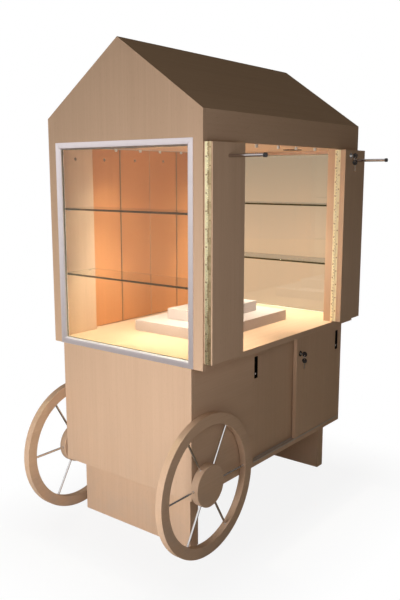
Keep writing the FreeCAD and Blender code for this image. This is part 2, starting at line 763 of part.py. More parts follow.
def door_tracks():
    """Aluminium tracks for the two sliding doors: one on the floor, one under the worktop."""
    tracks = []
    runs = [("bottom", BASE_FLOOR, BASE_FLOOR, "bottom_track_height"),
            ("top", "base_top - track_wall", "base_top - top_track_height", "top_track_height")]
    start = "fixed_side_end"
    length = "case_length - board - fixed_side_end"
    for name, web_low, wall_low, height in runs:
        body = body_named(f"{name}_track")
        add_box(body, f"{name}_web", (start, "track_start", web_low),
                (length, "track_end - track_start", "track_wall"))
        walls = [("front", "track_start"), ("middle", "track_middle - track_wall / 2"),
                 ("rear", "track_end - track_wall")]
        for wall, y in walls:
            add_box(body, f"{name}_{wall}_wall", (start, y, wall_low), (length, "track_wall", height))
        tracks.append(body)
    group("door_tracks", tracks)


def sliding_door(label, start, end, face, pull_middle):
    body = body_named(f"{label}_board")
    add_box(body, f"{label}_sheet", (start, face, "door_bottom"),
            (f"{end} - ({start})", "board", "door_top - door_bottom"))
    cut_box(body, f"{label}_pull_recess", (f"{pull_middle} - pull_width / 2", face, "pull_low"),
            ("pull_width", "pull_depth", "pull_height"))
    if label == "sliding_door_far":
        cut_rod(body, f"{label}_lock_hole", ("base_lock_from_near", face, "base_lock_height"),
                "lock_radius", "board", "Y")
    node(body, label)


def finger_pull(label, face, middle):
    """A chromed cup let into the door, with a thin rim that lies on the face."""
    body = body_named(f"{label}_cup")
    wide = "pull_width + 2 * pull_rim"
    tall = "pull_height + 2 * pull_rim"
    add_box(body, f"{label}_rim",
            (f"{middle} - ({wide}) / 2", f"{face} - pull_rim_proud", "pull_low - pull_rim"),
            (wide, "pull_rim_proud", tall))
    add_box(body, f"{label}_block", (f"{middle} - pull_width / 2", face, "pull_low"),
            ("pull_width", "pull_depth", "pull_height"))
    cut_box(body, f"{label}_hollow",
            (f"{middle} - pull_width / 2 + pull_wall", f"{face} - pull_rim_proud", "pull_low + pull_wall"),
            ("pull_width - 2 * pull_wall", "pull_rim_proud + pull_depth - pull_wall",
             "pull_height - 2 * pull_wall"))
    node(body, label)


def plinths():
    members = []
    size = ("plinth_thickness", "case_width - 2 * plinth_setback", "plinth_height")
    for end in ENDS:
        low = (low_of(end == "far", "case_length", "plinth_inset", "plinth_thickness"), "plinth_setback", "0")
        members.append(lone_box(f"plinth_{end}", low, size))
    group("plinths", members)


# The wheels: a wooden rim and hub joined by chrome spokes, on one axle through the base.

def wheel_low(face, start, size):
    return low_of(face == "back", "case_width", start, size)


def spoke_sockets(body, name, face, start):
    """Holes for the spokes, drilled along the radius and repeated round the wheel."""
    radial = FreeCAD.Rotation(FreeCAD.Vector(0, 1, 0), 90)
    socket = body.newObject("PartDesign::SubtractiveCylinder", f"{name}_socket")
    socket.Placement = FreeCAD.Placement(FreeCAD.Vector(), radial)
    bind(socket, "Radius", "spoke_radius")
    bind(socket, "Height", "spoke_seat")
    place(socket, (start, "0", "0"))
    ring = body.newObject("PartDesign::PolarPattern", f"{name}_sockets")
    ring.Originals = [socket]
    ring.Axis = (origin_feature(body, "Y_Axis"), [""])
    ring.Angle = 360
    bind(ring, "Occurrences", "spokes")
    body.Tip = ring


def wheel_node(body, label, face):
    """A wheel's piece is made round its own middle, in the plane of its spokes."""
    body.Label = label
    place(body, (f"wheel_from_near - {ORIGIN_X}",
                 f"{from_face(face, 'spoke_plane')} - {ORIGIN_Y}", "wheel_height"))
    nodes.append(body)


def wheel_disc(name, face, start, thickness, radius):
    body = body_named(f"{name}_turning")
    outer = f"{start} - spoke_plane"
    low = outer if face == "front" else f"(-({outer}) - {thickness})"
    disc = add_rod(body, f"{name}_disc", ("0", low, "0"), radius, thickness, "Y")
    return body, low, disc


def wheel_rim(face):
    name = f"{face}_wheel_rim"
    body, low, _ = wheel_disc(name, face, "rim_face", "rim_thickness", "wheel_radius")
    cut_rod(body, f"{name}_inside", ("0", low, "0"), "rim_inner_radius", "rim_thickness", "Y")
    spoke_sockets(body, name, face, "rim_inner_radius")
    wheel_node(body, name, face)


def wheel_hub(face):
    name = f"{face}_wheel_hub"
    body, low, _ = wheel_disc(name, face, "hub_face", "hub_thickness", "hub_radius")
    bore_low = f"{low} + hub_cover" if face == "front" else low
    cut_rod(body, f"{name}_bore", ("0", bore_low, "0"), "hub_bore_radius", "hub_thickness - hub_cover", "Y")
    spoke_sockets(body, name, face, "hub_radius - spoke_seat")
    wheel_node(body, name, face)


def wheel_spokes(face):
    label = f"{face}_wheel_spokes"
    members = []
    length = "rim_inner_radius - hub_radius + 2 * spoke_seat"
    for index in range(SIZES["spokes"]):
        spoke = doc.addObject("Part::Cylinder", f"{face}_spoke_{index}")
        about_y = FreeCAD.Rotation(FreeCAD.Vector(0, 1, 0), 360 * index / SIZES["spokes"])
        seat = FreeCAD.Vector(0, 0, SIZES["hub_radius"] - SIZES["spoke_seat"])
        sideways = FreeCAD.Rotation(FreeCAD.Vector(0, 1, 0), 90)
        turn = about_y.multiply(sideways)
        spoke.Placement = FreeCAD.Placement(turn.multVec(seat), turn)
        bind(spoke, "Radius", "spoke_radius")
        bind(spoke, "Height", length)
        members.append(spoke)
    compound = doc.addObject("Part::Compound", f"{label}_set")
    compound.Links = members
    wheel_node(compound, label, face)


def axle():
    """One steel bar through the base, with a collar between each wheel and the panel."""
    body = body_named("axle_turning")
    middle = "wheel_from_near"
    add_rod(body, "axle_bar", (middle, "axle_start", "wheel_height"), "axle_radius",
            "case_width - 2 * axle_start", "Y")
    start = "hub_face + hub_thickness + collar_gap"
    length = "base_setback - hub_face - hub_thickness - collar_gap"
    for face in FACES:
        add_rod(body, f"collar_{face}", (middle, wheel_low(face, start, length), "wheel_height"),
                "collar_radius", length, "Y")
    node(body, "axle")


def check_document():
    doc.recompute()
    bad = [thing.Name for thing in doc.Objects if {"Invalid", "Error"} & set(thing.State)]
    assert not bad, f"failed objects: {bad}"
    cutters = ("PartDesign::Pocket", "PartDesign::SubtractiveBox", "PartDesign::SubtractiveCylinder")
    for thing in doc.Objects:
        if thing.TypeId in cutters:
            removed = thing.BaseFeature.Shape.Volume - thing.Shape.Volume
            assert removed > 1, f"{thing.Name} cuts nothing"
    for sub_part in nodes:
        shape = sub_part.Shape
        assert not shape.isNull() and shape.isValid(), f"bad shape: {sub_part.Label}"
        assert shape.Solids, f"no solid: {sub_part.Label}"


def check_frame():
    box = FreeCAD.BoundBox()
    for sub_part in nodes:
        box.add(sub_part.Shape.optimalBoundingBox(False, False))
    print("size", round(box.XLength, 2), round(box.YLength, 2), round(box.ZLength, 2))
    middle = (box.XMin + box.XMax, box.YMin + box.YMax, box.ZMin)
    assert max(abs(value) for value in middle) < 0.02, f"the box is off its origin: {middle}"


def write_parts():
    os.makedirs("parts", exist_ok=True)
    for sub_part in nodes:
        sub_part.Shape.exportStep(f"parts/{sub_part.Label}.step")
        volume = round(sub_part.Shape.Volume / 1000)
        print(sub_part.Label, len(sub_part.Shape.Solids), "solids", volume, "cm3")
    print(len(nodes), "nodes")


def build():
    make_sheet()
    for end in ENDS:
        gable_panel(end)
    roof_panels()
    fascias()
    ceiling_panel()
    corner_posts()
    worktop()
    podium()
    window_frames()
    window_glasses()
    glass_shelves()
    shelf_pins()
    downlights()
    door_stops()
    jamb_hinges()
    for face, end in SETS:
        door_set(face, end)
    for end in ENDS:
        peg(end)
    case_lock("front", "far")
    case_lock("back", "near")
    x, outer = case_lock_place("front")
    keys("case_keys", from_end("far", x), outer, "case_lock_height")
    base_uprights()
    base_side_fixed()
    base_back()
    base_floor()
    door_tracks()
    sliding_door("sliding_door_near", "fixed_side_end + door_side_gap", "rear_door_end",
                 "rear_door_face", "near_pull_middle")
    sliding_door("sliding_door_far", "front_door_start", "(case_length - board - door_side_gap)",
                 "front_door_face", "far_pull_middle")
    finger_pull("near_door_pull", "rear_door_face", "near_pull_middle")
    finger_pull("far_door_pull", "front_door_face", "far_pull_middle")
    base_lock()
    base_strike()
    keys("base_keys", "base_lock_from_near", "front_door_face", "base_lock_height")
    plinths()
    axle()
    for face in FACES:
        wheel_rim(face)
        wheel_hub(face)
        wheel_spokes(face)
    check_document()
    check_frame()
    write_parts()


build()
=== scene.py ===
# %% [markdown]
# # Cheese trolley: the looks
#
# The trolley is a gabled case of pale laminated board, glazed at both ends, with folding doors on
# its long sides and a cupboard below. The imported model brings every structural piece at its
# place. This lesson dresses it: eased board edges, mitred window sections, screws, keys, turned
# wheels and the finish of every surface.

# %% Load the frame
import json
import math

import bpy
from mathutils import Matrix, Vector

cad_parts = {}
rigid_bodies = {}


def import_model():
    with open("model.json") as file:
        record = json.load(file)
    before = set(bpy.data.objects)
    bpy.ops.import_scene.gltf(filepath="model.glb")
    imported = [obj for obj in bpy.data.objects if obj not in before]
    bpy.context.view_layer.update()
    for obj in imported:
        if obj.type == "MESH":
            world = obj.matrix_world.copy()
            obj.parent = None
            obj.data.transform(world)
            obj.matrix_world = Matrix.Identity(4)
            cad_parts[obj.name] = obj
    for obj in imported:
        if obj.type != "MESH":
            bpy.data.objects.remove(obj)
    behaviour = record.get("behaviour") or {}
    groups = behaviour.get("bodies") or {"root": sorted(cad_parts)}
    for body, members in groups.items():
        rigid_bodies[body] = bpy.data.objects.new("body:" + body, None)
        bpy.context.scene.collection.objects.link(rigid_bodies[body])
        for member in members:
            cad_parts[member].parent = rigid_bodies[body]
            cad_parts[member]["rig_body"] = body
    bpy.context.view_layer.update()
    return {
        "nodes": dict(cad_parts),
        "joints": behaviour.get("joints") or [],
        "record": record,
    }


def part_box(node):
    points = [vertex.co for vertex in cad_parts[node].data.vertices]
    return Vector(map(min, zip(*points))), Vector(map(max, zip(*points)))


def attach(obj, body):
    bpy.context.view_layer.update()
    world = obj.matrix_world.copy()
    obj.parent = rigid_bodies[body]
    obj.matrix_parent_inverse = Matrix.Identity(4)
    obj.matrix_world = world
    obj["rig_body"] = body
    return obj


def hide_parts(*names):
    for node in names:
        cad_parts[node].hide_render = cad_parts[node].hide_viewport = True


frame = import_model()
nodes = frame["nodes"]

# %% [markdown]
# ## Where things are
#
# X runs along the long side, from the near end, by the wheels, to the far end. Y runs from the
# open front to the back. Positions are read from the nodes' boxes, so nothing is measured twice.

# %% Landmarks of the case
MM = 0.001
TINY = 1e-5

case_low, gable_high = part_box("gable_panel_near")
board = gable_high.x - case_low.x
print("corner", [round(v, 3) for v in case_low], "board", round(board / MM, 1), "mm")

# %% [markdown]
# ## The camera
#
# The viewpoint was fitted to the long straight edges of the case: they fix the direction, the
# height of the eye and the lens. It stands off the near front corner, about a metre and a half
# up, and looks slightly down.

# %% Camera
EYE_FROM_CORNER = Vector((-1.9805, -1.5411, 1.4650))
YAW, PITCH = math.radians(51.877), math.radians(9.856)
IMAGE_HEIGHT, FOCAL_PIXELS = 600, 710.4
FILM_HEIGHT = 36.0
QUARTER_TURN, FULL_TURN = math.radians(90), math.radians(360)


def add_to_scene(name, data):
    thing = bpy.data.objects.new(name, data)
    bpy.context.scene.collection.objects.link(thing)
    return thing


camera = add_to_scene("camera", bpy.data.cameras.new("camera"))
camera.data.sensor_fit = "VERTICAL"
camera.data.sensor_height = FILM_HEIGHT
camera.data.lens = FILM_HEIGHT * FOCAL_PIXELS / IMAGE_HEIGHT
camera.location = Vector((case_low.x, case_low.y, 0)) + EYE_FROM_CORNER
camera.rotation_euler = (QUARTER_TURN - PITCH, 0, -YAW)
bpy.context.scene.camera = camera
print("lens", round(camera.data.lens, 2))

# %% [markdown]
# ## Working by hand in code
#
# The modelling operators act on whatever is selected, so each piece starts from a clean
# selection. Faces and edges are picked by where they are, and the operator runs on those alone.

# %% Selection helpers
def object_mode():
    bpy.ops.object.mode_set(mode="OBJECT")


def start_clean():
    if bpy.context.object and bpy.context.object.mode != "OBJECT":
        object_mode()
    for thing in list(bpy.context.view_layer.objects):
        thing.select_set(False)


def make_active(thing):
    start_clean()
    thing.select_set(True)
    bpy.context.view_layer.objects.active = thing


def edit(thing, kind, action="DESELECT"):
    """Open a piece in edit mode for picking faces or edges, with none or all selected."""
    make_active(thing)
    bpy.ops.object.mode_set(mode="EDIT")
    bpy.ops.mesh.select_mode(type=kind)
    bpy.ops.mesh.select_all(action=action)


def pick_faces(thing, wanted):
    """Select the faces that wanted(centre, normal) accepts, and stay in edit mode."""
    edit(thing, "FACE")
    object_mode()
    for face in thing.data.polygons:
        face.select = wanted(face.center, face.normal)
    bpy.ops.object.mode_set(mode="EDIT")


def pick_edges(thing, wanted):
    """Select the edges that wanted(one end, other end) accepts, and stay in edit mode."""
    edit(thing, "EDGE")
    object_mode()
    points = thing.data.vertices
    for edge in thing.data.edges:
        edge.select = wanted(*(points[end].co for end in edge.vertices))
    bpy.ops.object.mode_set(mode="EDIT")


# %% Finishing helpers
def settle(piece):
    """Put a piece's place into its mesh, so that its object sits at the origin."""
    make_active(piece)
    bpy.ops.object.transform_apply(location=True, rotation=True, scale=True)
    return piece


def apply_modifier(piece, kind, **settings):
    make_active(piece)
    modifier = piece.modifiers.new(kind.lower(), kind)
    for key, value in settings.items():
        setattr(modifier, key, value)
    bpy.ops.object.modifier_apply(modifier=modifier.name)
    return piece


def smooth(piece, angle=35):
    """Shade curves smoothly and keep large flat faces flat right up to their rounded edges."""
    make_active(piece)
    bpy.ops.object.shade_smooth_by_angle(angle=math.radians(angle))
    return apply_modifier(piece, "WEIGHTED_NORMAL", keep_sharp=True)


def join(pieces, name):
    """Make one mesh of several pieces that are finished alike and move together."""
    make_active(pieces[0])
    for piece in pieces:
        piece.select_set(True)
    if len(pieces) > 1:
        bpy.ops.object.join()
    pieces[0].name = pieces[0].data.name = name
    return pieces[0]


def fit_out(piece, body, material, stands_for=()):
    """Paint a finished piece and hand it to its body."""
    settle(piece)
    piece.data.materials.clear()
    piece.data.materials.append(material)
    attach(piece, body)
    if stands_for:
        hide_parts(*stands_for)
    return piece

# %% [markdown]
# ## Shared effects
#
# Three effects turn up in many finishes, so each is a shader node group: the printed grain of
# the laminate, the scuffs and dust that gather low down, and the fine lines of drawn metal. A
# group gives out colours, masks and heights; the shader that uses them stays in each material.

# %% Node helpers
VECTOR, COLOUR, NUMBER = "NodeSocketVector", "NodeSocketColor", "NodeSocketFloat"


def new_group(name, inputs, outputs):
    """A node group, with inputs given as (name, type, default) and outputs as (name, type)."""
    group = bpy.data.node_groups.new(name, "ShaderNodeTree")
    for label, kind, default in inputs:
        socket = group.interface.new_socket(label, in_out="INPUT", socket_type=kind)
        if default is not None:
            socket.default_value = default
    for label, kind in outputs:
        group.interface.new_socket(label, in_out="OUTPUT", socket_type=kind)
    return group, group.nodes.new("NodeGroupInput").outputs, group.nodes.new("NodeGroupOutput")


def feed(tree, item, sources):
    """Link a node's inputs, by name or number, to sockets, or set them to plain values."""
    for key, source in sources.items():
        if isinstance(source, bpy.types.NodeSocket):
            tree.links.new(source, item.inputs[key])
        else:
            item.inputs[key].default_value = source


def put(tree, kind, **values):
    """Add a node and give it its plain properties and its inputs."""
    item = tree.nodes.new(kind)
    for key, value in values.items():
        if key in item.inputs:
            feed(tree, item, {key: value})
        else:
            setattr(item, key, value)
    return item


def noise(tree, vector, scale, detail, roughness=0.5):
    """Noise at one scale, or stretched by a scale for each axis."""
    if isinstance(scale, tuple):
        vector = put(tree, "ShaderNodeMapping", Vector=vector, Scale=scale).outputs["Vector"]
        scale = 1.0
    return put(tree, "ShaderNodeTexNoise", Vector=vector, Scale=scale, Detail=detail,
               Roughness=roughness).outputs["Fac"]


def remap(tree, value, low, high, to_low=0.0, to_high=1.0):
    item = put(tree, "ShaderNodeMapRange")
    feed(tree, item, dict(enumerate((value, low, high, to_low, to_high))))
    return item.outputs["Result"]


def blend_colours(tree, factor, first, second, mode="MIX"):
    """Mix two colours. Inputs 6 and 7 and output 2 are this node's colour sockets."""
    item = put(tree, "ShaderNodeMix", data_type="RGBA", blend_type=mode)
    feed(tree, item, {0: factor, 6: first, 7: second})
    return item.outputs[2]


def compute(tree, kind, operation, *sources):
    item = put(tree, kind, operation=operation)
    feed(tree, item, dict(enumerate(sources)))
    return item.outputs


def calculate(tree, operation, *sources):
    return compute(tree, "ShaderNodeMath", operation, *sources)["Value"]


def weighted(tree, *terms):
    """The sum of values, each times its weight."""
    total = None
    for value, weight in terms:
        term = calculate(tree, "MULTIPLY", value, weight)
        total = term if total is None else calculate(tree, "ADD", total, term)
    return total


def split(tree, vector):
    """The X, Y and Z of a vector."""
    return put(tree, "ShaderNodeSeparateXYZ", Vector=vector).outputs


def mix_shaders(tree, factor, first, second):
    item = put(tree, "ShaderNodeMixShader")
    feed(tree, item, {0: factor, 1: first, 2: second})
    return item.outputs["Shader"]


# %% [markdown]
# ### Laminate grain
#
# The boards are faced with a printed, very even maple decor: a soft change of tone from place to
# place, faint lines along the grain, and tiny darker dashes, all from stretched noise. The grain
# runs along Z inside the group, and a material turns its coordinates to send it another way.

# %% Laminate grain group
FLECK_COLOUR = (0.30, 0.19, 0.12, 1)
FLECK_STRENGTH = 0.30


def build_grain_group():
    group, given, result = new_group(
        "laminate_grain", [("Vector", VECTOR, None), ("Light", COLOUR, (0.8, 0.6, 0.4, 1)),
                           ("Dark", COLOUR, (0.6, 0.4, 0.3, 1)), ("Contrast", NUMBER, 1.0)],
        [("Color", COLOUR), ("Roughness", NUMBER), ("Height", NUMBER)])
    place = given["Vector"]
    tone = noise(group, place, (2.4, 2.4, 0.8), 3.0)
    lines = noise(group, place, (150, 150, 2.6), 3.0, 0.6)
    arches = noise(group, place, (22, 22, 1.1), 2.0)
    dashes = noise(group, place, (620, 620, 42), 1.0)
    mixed = weighted(group, (lines, 0.35), (arches, 0.35), (tone, 0.30))
    grain = calculate(group, "MULTIPLY", remap(group, mixed, 0.38, 0.62), given["Contrast"])
    soft = blend_colours(group, grain, given["Light"], given["Dark"])
    fleck = remap(group, dashes, 0.66, 0.76, 0.0, FLECK_STRENGTH)
    feed(group, result, {"Color": blend_colours(group, fleck, soft, FLECK_COLOUR),
                         "Roughness": remap(group, lines, 0.3, 0.7, 0.42, 0.54),
                         "Height": calculate(group, "SUBTRACT", lines, fleck)})
    return group


GRAIN = build_grain_group()

# %% [markdown]
# ### Scuffs and dust
#
# A thing that stands on a floor is rubbed and dusty low down and hardly at all higher up, so the
# mask fades with height and is broken up by noise. It greys the laminate and dulls its shine.

# %% Scuff group
def build_scuff_group():
    group, given, result = new_group(
        "scuffs_and_dust",
        [("Vector", VECTOR, None), ("Top", NUMBER, 0.3), ("Amount", NUMBER, 0.5)],
        [("Mask", NUMBER)])
    place = given["Vector"]
    low = remap(group, split(group, place)["Z"], given["Top"], 0.0)
    smudges = remap(group, noise(group, place, 9.0, 4.0, 0.6), 0.42, 0.68)
    rubs = remap(group, noise(group, place, (60, 60, 240), 3.0), 0.60, 0.72)
    broken = weighted(group, (smudges, 0.6), (rubs, 0.5))
    faded = calculate(group, "MULTIPLY", broken, low)
    feed(group, result, {"Mask": calculate(group, "MULTIPLY", faded, given["Amount"])})
    return group


SCUFFS = build_scuff_group()

# %% [markdown]
# ### Drawn metal
#
# Aluminium sections, hinge plates and bright rods all carry fine lines along the way they were
# drawn, with a few hand marks. How strong they are is left to each metal.

# %% Drawn metal group
def build_metal_group():
    group, given, result = new_group(
        "drawn_metal",
        [("Vector", VECTOR, None), ("Smooth", NUMBER, 0.15), ("Rough", NUMBER, 0.35)],
        [("Roughness", NUMBER), ("Height", NUMBER), ("Marks", NUMBER)])
    lines = noise(group, given["Vector"], (900, 900, 9), 2.0)
    marks = remap(group, noise(group, given["Vector"], 34.0, 4.0, 0.6), 0.45, 0.75)
    both = weighted(group, (lines, 0.5), (marks, 0.5))
    feed(group, result, {"Roughness": remap(group, both, 0.0, 1.0, given["Smooth"], given["Rough"]),
                         "Height": lines, "Marks": marks})
    return group


METAL = build_metal_group()


# %% Material helpers
TURNS = {"Z": (0, 0, 0), "X": (0, QUARTER_TURN, 0), "Y": (QUARTER_TURN, 0, 0)}


def new_material(name, along="Z"):
    """A material, its nodes and shader, and its object coordinates as they are and turned."""
    material = bpy.data.materials.new(name)
    material.use_nodes = True
    tree = material.node_tree
    place = put(tree, "ShaderNodeTexCoord").outputs["Object"]
    turned = put(tree, "ShaderNodeMapping", Vector=place, Rotation=TURNS[along]).outputs["Vector"]
    return material, tree, tree.nodes["Principled BSDF"], place, turned


def surface_normal(tree):
    return split(tree, put(tree, "ShaderNodeTexCoord").outputs["Normal"])


def add_bump(tree, shader, height, distance, strength):
    bump = put(tree, "ShaderNodeBump", Height=height, Strength=strength, Distance=distance)
    feed(tree, shader, {"Normal": bump.outputs["Normal"]})


def use_group(tree, group, vector, **values):
    return put(tree, "ShaderNodeGroup", node_tree=group, Vector=vector, **values).outputs


# %% [markdown]
# ## The wood finishes
#
# One pale maple laminate covers the case and the base. It runs upright on gables, leaves and
# cupboard doors, and lengthwise on the roof, the fascias and the worktop. The wheels are cut from
# the same board. The podium is covered in a slightly pinker, plainer one.

# %% Laminate materials
MAPLE_LIGHT = (0.650, 0.447, 0.303, 1)
MAPLE_DARK = (0.570, 0.380, 0.250, 1)
PODIUM_LIGHT = (0.570, 0.500, 0.480, 1)
PODIUM_DARK = (0.510, 0.440, 0.420, 1)
SCUFF_GREY = (0.42, 0.36, 0.31, 1)
SCUFF_TOP = 0.55
SCUFF_DULLS = 0.3
INNER_SHEET = (1.0, 0.64, 0.34, 1)
LAMINATE_SPECULAR = 0.22


def laminate(name, along, light=MAPLE_LIGHT, dark=MAPLE_DARK, contrast=0.6, scuffed=0.35,
             inner_side=0):
    """inner_side is -1 or 1 where the face towards -Y or +Y has the warmer inner sheet."""
    material, tree, shader, place, turned = new_material(name, along)
    grain = use_group(tree, GRAIN, turned, Light=light, Dark=dark, Contrast=contrast)
    colour = grain["Color"]
    if inner_side:
        warm = blend_colours(tree, 1.0, colour, INNER_SHEET, "MULTIPLY")
        towards = calculate(tree, "MULTIPLY", surface_normal(tree)["Y"], float(inner_side))
        colour = blend_colours(tree, remap(tree, towards, 0.6, 0.9), colour, warm)
    mask = use_group(tree, SCUFFS, place, Top=SCUFF_TOP, Amount=scuffed)["Mask"]
    feed(tree, shader, {"Base Color": blend_colours(tree, mask, colour, SCUFF_GREY),
                        "Roughness": weighted(tree, (grain["Roughness"], 1.0), (mask, SCUFF_DULLS)),
                        "Specular IOR Level": LAMINATE_SPECULAR})
    add_bump(tree, shader, grain["Height"], 0.00008, 0.5)
    return material


maple = {axis: laminate(f"maple_laminate_{axis.lower()}", axis) for axis in "XYZ"}
leaf_finish = {side: laminate(f"leaf_laminate_{word}", "Z", inner_side=side)
               for side, word in ((-1, "front"), (1, "back"))}
podium_board = laminate("podium_laminate", "X", PODIUM_LIGHT, PODIUM_DARK, 0.5, 0.0)
wheel_wood = laminate("wheel_laminate", "X", contrast=0.7, scuffed=0.6)
print("wood finishes", sorted(m.name for m in maple.values()), podium_board.name, wheel_wood.name)

# %% [markdown]
# ## Metals, plastics and glass
#
# The window sections are satin anodised aluminium, a pale and slightly mauve grey. The hinges are
# rolled brass, soft and yellow. A paler, less metallic copy of it is painted highlight on the jamb
# hinges and the far front hinges, and a darker copy is painted shade on the near front fold plate.
# Pegs, spokes and finger pulls are chromed and nearly mirror-like.

# %% Metal materials
DEEPER_TONE, MARK_DEPTH = 0.8, 0.12


def metal(name, colour, smooth_at, rough_at, along="Z", tarnish=None, tarnish_amount=MARK_DEPTH,
          bump=0.00003, metallic=1.0):
    """Metal that turns towards the tarnish, or else a deeper tone, where it has hand marks."""
    material, tree, shader, _, turned = new_material(name, along)
    drawn = use_group(tree, METAL, turned, Smooth=smooth_at, Rough=rough_at)
    deeper = tarnish or tuple(DEEPER_TONE * c for c in colour[:3]) + (1,)
    amount = calculate(tree, "MULTIPLY", drawn["Marks"], tarnish_amount)
    feed(tree, shader, {"Base Color": blend_colours(tree, amount, colour, deeper),
                        "Metallic": metallic, "Roughness": drawn["Roughness"]})
    add_bump(tree, shader, drawn["Height"], bump, 0.4)
    return material


ANODISED = (0.96, 0.90, 0.92, 1)
BRASS_SHADOW = (0.30, 0.21, 0.09, 1)
MIRROR_BUMP = 0.00001

aluminium_z = metal("anodised_aluminium_upright", ANODISED, 0.48, 0.62)
aluminium_y = metal("anodised_aluminium_level", ANODISED, 0.52, 0.66, "Y")
aluminium_x = metal("mill_aluminium", (0.55, 0.48, 0.43, 1), 0.42, 0.60, "X", metallic=0.4)
brass = metal("rolled_brass", (1.0, 0.90, 0.57, 1), 0.24, 0.38, "Z", BRASS_SHADOW, 0.25)
# A darker copy of the brass: painted shade on the near front fold plate.
brass_painted_shade = metal("brass_painted_shade", (0.68, 0.54, 0.33, 1), 0.28, 0.46, "Z", BRASS_SHADOW, 0.60)
# A paler, less metallic copy of the brass: painted highlight on the jamb hinges and the far front
# hinges, standing for bright reflections of the light.
brass_painted_highlight = metal("brass_with_painted_highlight", (1.0, 0.93, 0.66, 1), 0.26, 0.42, "Z", BRASS_SHADOW, 0.15,
                   metallic=0.4)
bronze = metal("bronzed_steel", (0.52, 0.34, 0.19, 1), 0.30, 0.48)
dark_chrome = metal("dark_chrome", (0.075, 0.070, 0.066, 1), 0.14, 0.30)
chrome_y = metal("chrome_rod", (0.52, 0.48, 0.48, 1), 0.05, 0.16, "Y", bump=MIRROR_BUMP)
chrome = metal("chrome", (0.78, 0.78, 0.79, 1), 0.06, 0.18, bump=MIRROR_BUMP)
nickel = metal("polished_nickel", (0.70, 0.68, 0.64, 1), 0.10, 0.24, bump=MIRROR_BUMP)
steel = metal("bright_steel", (0.56, 0.56, 0.57, 1), 0.24, 0.40, "Y")


# %% Plastic and paint materials
def plain_finish(name, colour, deeper, rough_low, rough_high, specular=0.5):
    """Moulded plastic or sprayed paint: a fine orange peel and a little unevenness of tone."""
    material, tree, shader, place, _ = new_material(name)
    peel = noise(tree, place, 900.0, 2.0)
    patches = remap(tree, noise(tree, place, 30.0, 3.0), 0.35, 0.7)
    feed(tree, shader, {"Base Color": blend_colours(tree, patches, colour, deeper),
                        "Roughness": remap(tree, patches, 0, 1, rough_low, rough_high),
                        "Specular IOR Level": specular})
    add_bump(tree, shader, peel, 0.00004, 0.5)
    return material


black_plastic = plain_finish("key_plastic", (0.020, 0.020, 0.022, 1), (0.035, 0.034, 0.036, 1),
                             0.22, 0.34)
black_paint = plain_finish("lamp_paint", (0.012, 0.012, 0.013, 1), (0.020, 0.020, 0.022, 1),
                           0.5, 0.65, 0.10)
# Near-black for the hinges: painted shade in the screw recesses and beside the knuckles, and the
# joints between knuckles.
joint_and_painted_shade = plain_finish("shadow_line", (0.030, 0.026, 0.022, 1), (0.045, 0.038, 0.030, 1), 0.6, 0.8)
nylon = plain_finish("nylon", (0.70, 0.69, 0.66, 1), (0.60, 0.58, 0.55, 1), 0.35, 0.5)
gasket = plain_finish("glazing_gasket", (0.220, 0.200, 0.140, 1), (0.270, 0.245, 0.175, 1),
                      0.5, 0.7)


# %% Lens material
LENS_COLOUR, LENS_PALER = (1.0, 0.86, 0.60, 1), (1.0, 0.93, 0.74, 1)
LENS_GLOW = 1.6


def lit_lens():
    """The frosted lens glows in its own warm colour, with a fine ripple."""
    material, tree, shader, place, _ = new_material("lamp_lens")
    ripple = noise(tree, place, 420.0, 2.0)
    glow = blend_colours(tree, ripple, LENS_COLOUR, LENS_PALER)
    feed(tree, shader, {"Base Color": glow, "Emission Color": glow, "Emission Strength": LENS_GLOW,
                        "Roughness": 0.6})
    add_bump(tree, shader, ripple, 0.0002, 0.4)
    return material


lens_glow = lit_lens()

# %% [markdown]
# ### Glass
#
# Float glass is almost clear through its face and dark green through its edge, so its tint
# depends on which way the surface faces. Without caustics a pane would block the lamps, so rays
# on their way to a lamp are let straight through.

# %% Glass materials
GLASS_BENDS = 1.46


def glass(name, face_tint, edge_tint, edge_axes):
    """edge_axes are the two object axes that the sheet's edges face."""
    material, tree, shader, place, _ = new_material(name)
    normal = surface_normal(tree)
    sides = (calculate(tree, "ABSOLUTE", normal[axis]) for axis in edge_axes)
    facing = calculate(tree, "MAXIMUM", *sides)
    edge = remap(tree, facing, 0.3, 0.9)
    streaks = remap(tree, noise(tree, place, 5.0, 3.0), 0.3, 0.8, 0.0, 0.04)
    feed(tree, shader, {"Base Color": blend_colours(tree, edge, face_tint, edge_tint),
                        "Roughness": streaks, "Transmission Weight": 1.0, "IOR": GLASS_BENDS})
    clear = put(tree, "ShaderNodeBsdfTransparent", Color=face_tint).outputs["BSDF"]
    for_lamps = put(tree, "ShaderNodeLightPath").outputs["Is Shadow Ray"]
    feed(tree, tree.nodes["Material Output"],
         {"Surface": mix_shaders(tree, for_lamps, shader.outputs["BSDF"], clear)})
    return material


window_glass = glass("window_glass", (0.97, 0.98, 0.95, 1), (0.16, 0.26, 0.17, 1), "YZ")
shelf_glass = glass("shelf_glass", (0.96, 0.985, 0.96, 1), (0.115, 0.120, 0.055, 1), "XY")
print("glass", window_glass.name, shelf_glass.name)

# %% [markdown]
# ## Painting the model's own parts
#
# Each part of the imported model gets its finish first, so nothing is left bare. Nearly all of them
# are replaced below by a copy with eased edges or by a more detailed piece.

